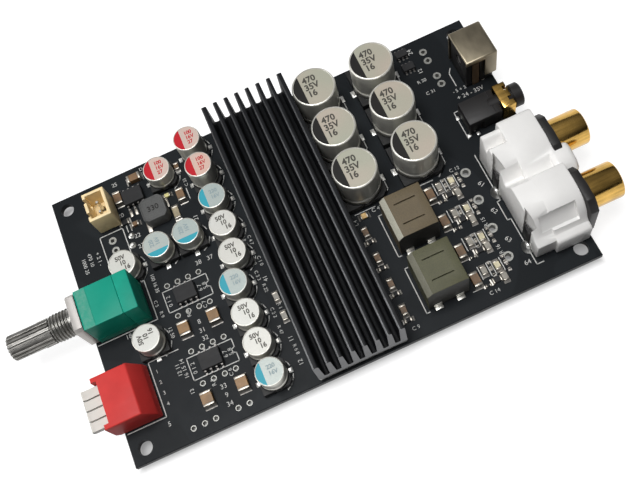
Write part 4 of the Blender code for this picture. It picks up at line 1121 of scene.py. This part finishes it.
def makeControlSection(node, name, pale):
    low, high = nodeBox(node)
    low.z = 0.3
    if pale:
        high.x += 0.28
    body = softBox(name, low, high, control["bevel"], 3)
    # a shallow step round the body, where its two mouldings meet
    floor, ceiling = control["step"]
    editAll(body)
    for height in (floor, ceiling):
        bpy.ops.mesh.bisect(plane_co=(0, 0, height), plane_no=(0, 0, 1))
        bpy.ops.mesh.select_all(action="SELECT")
    done()
    pick(body, lambda at, way: floor < at.z < ceiling and abs(way.z) < 0.1)
    bpy.ops.mesh.inset(thickness=0.0, depth=-0.12)
    done()
    if pale:
        rib = boxPiece("rib", (low.x + 2.7, low.y + 0.6, high.z - 0.05),
                       (low.x + 2.86, high.y - 0.6, high.z + 1))
        axis = (middleOf(node).y, control["axis"])
        cutAway(body, rib, rodPiece("bore", control["neck"] + 0.25, low.x - 1, low.x + 4.3, 32, "X", axis))
    settle(body, "green_plastic", labelGreen if pale else greenFinish, nodes=[node])


def makeControlShaft():
    low, high = nodeBox("control_shaft")
    middle, height = middleOf("control_shaft").yz
    r, depth, teeth = control["shaft"], control["toothDepth"], control["teeth"]
    shoulder = nodeBox("control_bush_plate")[0].x - 0.3
    tooth = ((0.0, r - 0.05), (0.08, r), (0.30, r), (0.38, r - 0.05), (0.50, r - depth), (0.88, r - depth))
    around = [(2 * pi * (number + offset) / teeth, radius) for number in range(teeth)
              for offset, radius in tooth]
    outline = [(middle + radius * cos(angle), height + radius * sin(angle)) for angle, radius in around]
    shaft = outlinePiece("splined_shaft", outline, low.x + 0.45, shoulder, "X")
    pick(shaft, lambda at, way: way.x < -0.9)
    extrudeBy((-0.45, 0, 0))
    bpy.ops.transform.resize(value=(1, 0.88, 0.88), center_override=(low.x, middle, height))
    done()
    half = control["slot"] / 2
    slot = boxPiece("slot", (low.x - 1, -2 * r, -half), (low.x + control["slotDepth"], 2 * r, half))
    turn = Matrix.Rotation(radians(control["slotTurn"]), 4, "X")
    slot.data.transform(Matrix.Translation((0, middle, height)) @ turn)
    mergeIn(shaft, rodPiece("neck", control["neck"], shoulder - 0.2, high.x, 36, "X", (middle, height)))
    cutAway(shaft, slot)
    settle(shaft, "nickel", shaftFinish, body="control_shaft", nodes=["control_shaft"], angle=30)


# four way piano switch

piano = {"cheek": 1.1, "recess": 1.2, "bevel": 0.3, "lever": 1.8, "hub": 1.3, "pivot": (1.8, 4.3),
         "slip": 0.12, "wider": 0.10}


def makePianoBody():
    low, high = nodeBox("switch_body")
    front, back, top = low.x, high.x, high.z
    section = [(front, 1.3), (front + 0.8, 0.3), (back - 0.3, 0.3), (back, 0.6), (back - 0.4, 3.0),
               (back - 2.4, top), (front, top)]
    body = outlinePiece("piano_body", section, low.y, high.y, "Y")
    bevelEdges(body, piano["bevel"], 3,
               test=lambda at, way: at.z > 2.9 and not (at.x < front + 0.1 and abs(way.z) > 0.5))
    recess = boxPiece("recess", (front - 1, low.y + piano["cheek"], 1.1),
                      (front + piano["recess"], high.y - piano["cheek"], 20))
    x, z = piano["pivot"]
    width, reach = piano["lever"] / 2 + piano["slip"], piano["hub"] + 0.3
    pockets = []
    for number in range(1, 5):
        y = middleOf("switch_lever_%d" % number).y
        pockets.append(boxPiece("pocket", (front - 1, y - width, z - reach),
                                (x + reach, y + width, z + reach)))
    cutAway(body, recess, joined("pockets", pockets))
    settle(body, "red_plastic", redFinish, nodes=["switch_body"])


def makeLever(number):
    node = "switch_lever_%d" % number
    low, high = nodeBox(node)
    pivotX, pivotZ = piano["pivot"]
    tip, sill = low.x, nodeBox("switch_body")[0].x + piano["recess"]
    # arm with a thumb step near its end, seen from the side as (x, z)
    arm = [(pivotX, 3.9), (pivotX, 5.5), (sill + 0.4, 5.62), (tip + 3.0, 5.60), (tip + 2.0, 5.48),
           (tip + 1.0, 5.52), (tip + 0.35, 5.68), (tip + 0.08, 5.55), (tip, 5.3), (tip, 4.3),
           (tip + 0.35, 3.9)]
    lever = outlinePiece("lever", arm, low.y, high.y, "Y")
    # in front of the body the arm is a little wider
    ahead = sill - 0.35
    for side in (-1, 1):
        pick(lever, lambda at, way: way.y * side > 0.9)
        bpy.ops.mesh.bisect(plane_co=(ahead, 0, 0), plane_no=(1, 0, 0))
        done()
        pick(lever, lambda at, way: way.y * side > 0.9 and at.x < ahead)
        extrudeBy((0, side * piano["wider"], 0))
        done()
    mergeIn(lever, rodPiece("hub", piano["hub"], low.y, high.y, 36, "Y", (pivotX, pivotZ)))
    bevelEdges(lever, 0.10, 2, test=lambda at, way: abs(way.y) < 0.3 and at.x < pivotX - 1.2)
    lever.name = "piano_lever_%d" % number
    settle(lever, "lever_white", leverFinish, body="lever_%d" % number, nodes=[node])


# shrouded header

header = {"wall": 0.7, "bevel": 0.22, "floor": 1.6, "gate": 0.55, "gateFoot": 2.8, "well": 0.62}


def makeHeader():
    low, high = nodeBox("header_shroud")
    middle, wall, gate, well = middleOf("header_shroud"), header["wall"], header["gate"], header["well"]
    body = softBox("header_housing", low, high, header["bevel"])
    cavity = boxPiece("cavity", (low.x + wall, low.y + wall, header["floor"]),
                      (high.x - wall, high.y - wall, 20))
    quarter = (high.y - low.y) / 4
    gates = [boxPiece("gate", (low.x - 1, y - gate, header["gateFoot"]), (low.x + 2 * wall, y + gate, 20))
             for y in (middle.y - quarter, middle.y + quarter)]
    cutAway(body, cavity, joined("gates", gates))
    bevelEdges(body, 0.08, 1, test=lambda at, way: at.z > high.z - 0.02 and abs(way.z) < 0.1)
    wells = [boxPiece("well", (middle.x - well, y - well, -1), (middle.x + well, y + well, 3))
             for y in (middleOf("header_pin_1").y, middleOf("header_pin_2").y)]
    cutAway(body, joined("wells", wells))
    settle(body, "ivory_plastic", ivoryFinish, nodes=["header_shroud"])


# power socket

power = {"wall": 0.4, "window": 3.0, "axis": 6.2, "opening": 3.4, "bore": 3.1, "stem": 1.3,
         "groove": (1.2, 3.4)}


def makePowerSocket():
    low, high = nodeBox("power_socket_cover")
    wall, inner = power["wall"], high.x - power["window"]
    axis = (middleOf("power_socket_cover").y, power["axis"])
    cover = boxPiece("power_cover", low, high)
    bevelEdges(cover, 0.45, 3,
               test=lambda at, way: at.z > high.z - 0.01 or (abs(way.z) > 0.9 and at.x > high.x - 0.01))
    cutAway(cover,
            boxPiece("hollow", (low.x - 1, low.y + wall, -1), (high.x - wall, high.y - wall, high.z - wall)),
            boxPiece("side", (low.x - 1, low.y - 1, -1), (inner, low.y + 1.5, high.z - 1.1)),
            rodPiece("window", power["opening"], high.x - 2, high.x + 2, 48, "X", axis),
            boxPiece("foot", (inner - 0.1, low.y - 1, -1), (high.x + 1, low.y + 1.2, 3.0)))
    # a metal sheet in the side window, coloured dark brown as painted shade in the hollow
    shadedSheet = softBox("shadedSheet", (low.x + 0.8, low.y + 1.45, 1.2), (inner + 0.6, low.y + 1.6, high.z - 0.9),
                     0.05, 1, shadedSheetFinish)
    whole = joined("power_cover", [paint(cover, coverFinish), shadedSheet])
    settle(whole, "nickel_dull", nodes=["power_socket_cover"])
    low, high = nodeBox("power_socket_body")
    low.z = 0.3
    first, last = power["groove"]
    body = softBox("power_insulator", low, high, 0.2)
    cutAway(body, rodPiece("bore", power["bore"], low.x + 1.3, high.x + 1, 48, "X", axis),
            rodPiece("stem", power["stem"], low.x - 1, high.x, 24, "X", axis),
            boxPiece("groove", (low.x + first, low.y - 1, 1.4), (low.x + last, low.y + 0.35, 8.2)))
    settle(body, "black_plastic", blackFinish, nodes=["power_socket_body"])
    # the blade also takes the painted shade colour
    blade = softBox("power_blade", (low.x + 1.5, low.y - 0.12, 0.2), (low.x + 3.1, low.y + 0.18, 8.0),
                    0.06, 1)
    settle(blade, "tinned", shadedSheetFinish)
    low, high = nodeBox("power_socket_pin")
    r, tip = (high.y - low.y) / 2, high.x
    profile = [(0, tip), (r * 0.35, tip - 0.02), (r * 0.75, tip - 0.25), (r, tip - 0.7), (r, low.x),
               (0, low.x)]
    pin = turnedPiece("power_pin", profile, 28, "X", axis)
    settle(pin, "nickel", plateFinish, nodes=["power_socket_pin"])


# 3.5 mm socket: its solder tabs as x, y and length

audio = {"top": 4.6, "axis": 2.6, "pocket": 3.1, "wall": 0.35, "arch": 2.35,
         "tabs": ((94.3, 37.5, 0.9), (96.3, 37.1, 0.8), (93.9, 42.6, 0.8))}


def makeAudioSocket():
    low, high = nodeBox("audio_socket_body")
    collarLow, collarHigh = nodeBox("audio_socket_collar")
    middle, axis, top = middleOf("audio_socket_body").y, audio["axis"], audio["top"]
    front, tip = collarLow.x - 0.3, high.x
    body = softBox("audio_body", (low.x, low.y, 0.3), (front, high.y, top), 0.25)
    pockets = [boxPiece("pocket", (low.x + 1.2, y - 0.45, -1), (low.x + 3.4, y + 0.45, 3.2))
               for y in (middle - audio["pocket"], middle + audio["pocket"])]
    pockets.append(boxPiece("groove", (front - 1.6, low.y - 1, top - 0.12),
                            (front - 1.3, high.y + 1, top + 1)))
    cutAway(body, joined("pockets", pockets))
    profile = [(1.3, front - 2), (1.3, tip - 0.35), (1.8, tip - 0.02), (2.35, tip), (2.7, tip - 0.3),
               (2.7, boardLength + 0.15), (2.55, boardLength), (2.0, boardLength), (2.0, front - 2)]
    nose = turnedPiece("nose", profile, 44, "X", (middle, axis + 0.25), closed=True)
    settle(joined("audio_body", [body, nose]), "black_plastic", blackFinish, nodes=["audio_socket_body"])
    low, high = collarLow, collarHigh
    wall, arch, inner = audio["wall"], audio["arch"], low.x + 1.5
    collar = boxPiece("audio_collar", low, high)
    bevelEdges(collar, 0.25, 2, test=lambda at, way: at.z > high.z - 0.01)
    notches = [boxPiece("notch", (high.x - 1.0, middle + y - 0.55, high.z - 1),
                        (high.x + 1, middle + y + 0.55, 20))
               for y in (-1.3, 1.5)]
    cutAway(collar,
            boxPiece("hollow", (low.x - 1, low.y + wall, -1), (high.x - wall, high.y - wall, high.z - wall)),
            rodPiece("arch", arch, inner, high.x + 1, 36, "X", (middle, axis)),
            boxPiece("gate", (inner, middle - arch, -1), (high.x + 1, middle + arch, axis)),
            joined("notches", notches))
    settle(collar, "gold", goldFinish, nodes=["audio_socket_collar"])
    tabs = [softBox("tab", (x - long / 2, y - 0.45, 0.02), (x + long / 2, y + 0.45, 0.34), 0.12)
            for x, y, long in audio["tabs"]]
    settle(joined("audio_tabs", tabs), "tinned", solderFinish)


# twin phono sockets, with the sections of the housing seen from the front as (y, z):
# the full front block, and the lower rear one with its sloped recesses

phono = {"step": 4.2, "axis": 7.3, "row": 6.95, "bevel": 0.3, "nip": 2.2, "bore": 2.75, "stem": 2.48}
phonoFront = [(4.3, 0.3), (4.3, 5.0), (4.5, 5.5), (4.9, 5.75), (6.1, 5.95), (6.7, 6.7), (7.3, 8.3),
              (8.6, 10.0), (10.3, 11.1), (12.2, 11.6), (14.0, 11.7), (17.3, 11.6), (17.9, 11.3),
              (18.2, 10.6), (18.3, 9.2), (19.2, 9.5), (20.8, 10.4), (22.8, 11.2), (25.2, 11.7),
              (31.2, 11.7), (32.0, 11.4), (32.4, 10.8), (32.5, 9.8), (32.5, 0.3)]
phonoRear = [(5.2, 0.3), (5.2, 5.4), (5.6, 5.8), (6.8, 6.2), (9.6, 10.2), (10.4, 11.0), (12.2, 11.57),
             (14.0, 11.67), (17.2, 11.57), (18.0, 10.8), (19.4, 8.2), (20.1, 8.2), (21.6, 10.0),
             (22.2, 10.8), (23.4, 11.3), (25.2, 11.67), (27.1, 11.67), (27.8, 10.4), (28.1, 8.8),
             (28.6, 9.0), (29.5, 10.6), (30.2, 11.1), (30.9, 10.9), (31.3, 10.3), (31.3, 0.3)]
phonoLobe = [(15.8, 1.5), (22.5, 1.5), (22.7, 9.8), (22.0, 10.8), (20.4, 11.0), (17.4, 10.5), (16.0, 9.2)]
phonoWindow = [(6.0, 7.0), (7.5, 7.1), (8.7, 8.3), (9.6, 10.0), (9.9, 13.0), (6.0, 13.0)]
phonoFoot = [(0, 0), (1.25, 0), (1.2, 0.1), (0.95, 0.5), (0.8, 1.0), (0.62, 1.5), (0.3, 1.75), (0, 1.8)]


def makePhonoHousing():
    low, high = nodeBox("phono_housing")
    middle, x = middleOf("phono_housing").y, low.x
    body = outlinePiece("phono_body", phonoFront, x + phono["step"], high.x, "X")
    back = outlinePiece("rear", phonoRear, x, x + phono["step"] + 1.0, "X")
    # the web between the two front plates ends in a rounded lobe
    lobe = outlinePiece("lobe", phonoLobe, high.x - 1.5, high.x + 3.3, "X")
    bevelEdges(body, phono["bevel"], 3, angle=50)
    bevelEdges(back, phono["bevel"], 3, angle=50)
    bevelEdges(lobe, 1.1, 5, angle=50)
    mergeIn(body, back, lobe)
    bores, wedges, shadeWedges = [], [], []
    for y in (middle - phono["row"], middle + phono["row"]):
        bores.append(rodPiece("bore", 2.8, high.x - 5.5, high.x + 2, 40, "X", (y, phono["axis"])))
        wedge = [(x + 0.35, y + 1.0), (x - 1.0, y - 3.2), (x + 1.25, y - 3.2)]
        wedges.append(outlinePiece("wedge", wedge, -1, 12))
        # a black wedge in each gap at the back of the housing, as painted shade
        shadeWedge = [(x + 0.1, y - 0.1), (x - 0.3, y - 2.9), (x + 0.95, y - 2.9)]
        shadeWedges.append(paint(outlinePiece("shadeWedge", shadeWedge, 0.3, 6.0), blackFinish))
    window = outlinePiece("window", phonoWindow, x + 2.0, high.x - 1.8, "X")
    cutAway(body, joined("bores", bores), joined("wedges", wedges), window)
    whole = joined("phono_body", [paint(body, whiteFinish)] + shadeWedges)
    settle(whole, "housing_white", nodes=["phono_housing"], angle=40)
    tabs = []
    for y in (22.4, 8.3):
        foot = turnedPiece("foot", phonoFoot, 24)
        foot.data.transform(Matrix.Diagonal((1, 1.25, 1, 1)))
        tab = softBox("tab", (x - 0.45, y - 0.8, -0.02), (x - 0.1, y + 0.8, 1.3), 0.12)
        tabs += [tab, moved(foot, x - 0.35, y)]
    settle(joined("phono_tabs", tabs), "tinned", solderFinish, angle=50)


def makePhonoFront(number):
    node, bore, nip = "phono_flange_%d" % number, phono["bore"], phono["nip"]
    low, high = nodeBox(node)
    root = high.x + 0.3
    low.x -= 0.4
    high.x += 0.35
    axis, face = (middleOf(node).y, phono["axis"]), high.x
    corner = [(high.y, high.z - nip), (high.y - nip * 0.6, high.z - nip * 0.35), (high.y - nip, high.z)]
    outline = [(low.y, low.z), (high.y, low.z)] + corner
    outline += [(low.y + high.y - y, z) for y, z in reversed(corner)]
    flange = outlinePiece("phono_plate_%d" % number, outline, low.x, face, "X")
    bevelEdges(flange, 0.2, 2, angle=20)
    cutAway(flange, rodPiece("bore", bore, low.x - 1, face + 1, 40, "X", axis))
    ring = [(bore, face - 0.3), (bore, face + 0.12), (4.15, face + 0.12), (4.35, face - 0.05),
            (4.35, face - 0.3)]
    collar = turnedPiece("collar", ring, 48, "X", axis, closed=True)
    settle(joined(flange.name, [flange, collar]), "black_plastic", blackFinish, nodes=[node])
    node, stem = "phono_barrel_%d" % number, phono["stem"]
    low, high = nodeBox(node)
    r, tip = (high.y - low.y) / 2, high.x
    profile = [(0, low.x), (stem, low.x), (stem, root), (r - 0.15, root), (r, root + 0.15), (r, tip - 0.5),
               (r - 0.08, tip - 0.22), (r - 0.28, tip - 0.05), (r - 0.5, tip), (3.25, tip), (3.1, tip - 0.1),
               (2.9, tip - 0.9), (2.7, tip - 1.0), (1.75, tip - 1.0), (1.6, tip - 1.15), (1.6, tip - 7.0),
               (0, tip - 7.0)]
    barrel = turnedPiece("phono_shell_%d" % number, profile, 64, "X", axis)
    paint(barrel, goldFinish)
    # the white insulator that shows in the barrel's mouth
    paint(barrel, whiteFinish, lambda at, way: tip - 1.05 < at.x < tip - 0.9 and way.x > 0.9)
    settle(barrel, "gold", nodes=[node], angle=25)


def finishFrameNodes():
    finishes = {"amplifier_chip": epoxyFinish, "thermal_pad": thermalFinish}
    for node in list(framePins) + list(finishes):
        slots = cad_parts[node].data.materials
        slots.clear()
        slots.append(finishes.get(node, tinFinish).material)


# light, floor and camera

stage = {"floor": 1.2, "rim": ((0.01, 1.04), (0.04, 1.03), (0.45, 1.02)), "shadeEdge": 1.5,
         "key": {"power": 2.35, "size": 0.24, "place": (-0.08, 0.02, 0.55)},
         "strip": {"power": 0.55, "size": 0.36, "place": (-0.42, 0.09, 0.13), "height": 0.10},
         "sky": ((0.15, (0.03, 0.03, 0.0306)), (0.9, (0.42, 0.42, 0.4284))), "skyWay": (-0.50, 0.12, 0.86)}
photoCamera = {"place": (-0.98, -81.00, 178.07), "turn": (21.9446, 9.0609, -22.8865), "lens": 49.302}


def areaLight(name, power, size, place, height=None):
    lamp = bpy.data.lights.new(name, "AREA")
    lamp.energy = power
    lamp.size = size
    if height:
        lamp.shape = "RECTANGLE"
        lamp.size_y = height
    item = bpy.data.objects.new(name, lamp)
    item.location = place
    item.rotation_euler = (-Vector(place)).to_track_quat("-Z", "Y").to_euler()
    bpy.context.scene.collection.objects.link(item)


def paperFinish():
    # white to the camera and in reflections, keeping the shadow, with a painted shadow under the board, but
    # dark in the light that it throws back
    sheet = Finish("paperFloor", (0.2, 0.2, 0.2), 0.9)
    rays = [sheet.node("LightPath", output=kind)
            for kind in ("Is Camera Ray", "Is Glossy Ray", "Is Transmission Ray")]
    seen = sheet.node("Math", {"operation": "ADD", "use_clamp": True}, {0: rays[0] + rays[1], 1: rays[2]})
    paper = sheet.mix(sheet.noise(40.0), (0.34, 0.34, 0.34), (0.36, 0.36, 0.36))
    sheet.set("Base Color", sheet.mix(seen, (0.07, 0.07, 0.07), paper))
    # painted shadow: under the board's footprint the floor's glow drops to a quarter, fading over shadeEdge
    # mm at its edges
    away, soft = [], stage["shadeEdge"]
    for axis, half in (("X", boardLength / 2), ("Y", boardWidth / 2)):
        side = sheet.node("Math", {"operation": "ABSOLUTE"}, {0: sheet.along(axis)})
        away.append(sheet.node("MapRange", None, {0: side, 1: (half - soft) * mm, 2: (half + soft) * mm}))
    clear = sheet.node("Math", {"operation": "MAXIMUM"}, {0: away[0], 1: away[1]})
    sheet.set("Emission Color", sheet.mix(seen * (clear * 0.75 + 0.25), (0.0, 0.0, 0.0), (0.83, 0.83, 0.83)))
    sheet.set("Emission Strength", 1.0)
    return sheet


def makeFloor():
    # a round table top that turns up into a backdrop at its rim
    clearSelection()
    bpy.ops.mesh.primitive_circle_add(vertices=96, radius=stage["floor"], fill_type="NGON",
                                      location=(0, 0, cadBox[0].z - 0.0001))
    floor = bpy.context.object
    floor.name = "floor"
    bpy.ops.object.transform_apply(location=True)
    pick(floor, lambda at, way: True, "EDGE")
    for rise, spread in stage["rim"]:
        bpy.ops.mesh.extrude_edges_move(TRANSFORM_OT_translate={"value": (0, 0, rise)})
        bpy.ops.transform.resize(value=(spread, spread, 1), center_override=(0, 0, 0))
    done()
    paint(floor, paperFinish())


def makeSky():
    world = bpy.data.worlds.new("studio")
    bpy.context.scene.world = world
    world.use_nodes = True
    web = Web(world.node_tree)
    slope = web.node("VectorMath", {"operation": "DOT_PRODUCT"},
                     {0: web.node("TexCoord", output="Generated"), 1: stage["skyWay"]}, output="Value")
    web.feed(web.tree.nodes["Background"], 0, web.node("ValToRGB", {"stops": stage["sky"]}, {0: slope}))


def makeCamera():
    lens = bpy.data.cameras.new("photo_camera")
    lens.lens = photoCamera["lens"]
    lens.clip_start = 0.005
    camera = bpy.data.objects.new("photo_camera", lens)
    camera.location = Vector(photoCamera["place"]) * mm
    camera.rotation_euler = [radians(a) for a in photoCamera["turn"]]
    bpy.context.scene.collection.objects.link(camera)
    bpy.context.scene.camera = camera
    bpy.context.scene.view_settings.view_transform = "Standard"


makeFloor()
areaLight("key", **stage["key"])
areaLight("strip", **stage["strip"])
makeSky()
makeCamera()
print("stage set")
makeLaminate()
makePads()
makePrint()
makeFigures()
print("board made")
makeHeatsink()
print("heatsink made")
makeChips()
makeMouldedChips()
makeInductor(1, oliveFerrite, duskFinish)
makeInductor(2, brownFerrite, stripFinish)
makeChoke()
print("chips and wound parts made")
makeLargeCapacitors()
makeSmallCapacitors()
print("capacitors made")
makeControlPlate()
makeControlSection("control_front_section", "control_front", True)
makeControlSection("control_rear_section", "control_rear", False)
makeControlShaft()
makePianoBody()
for number in range(1, 5):
    makeLever(number)
print("controls made")
makeHeader()
makePowerSocket()
makeAudioSocket()
makePhonoHousing()
for number in (1, 2):
    makePhonoFront(number)
finishFrameNodes()
print("sockets made")
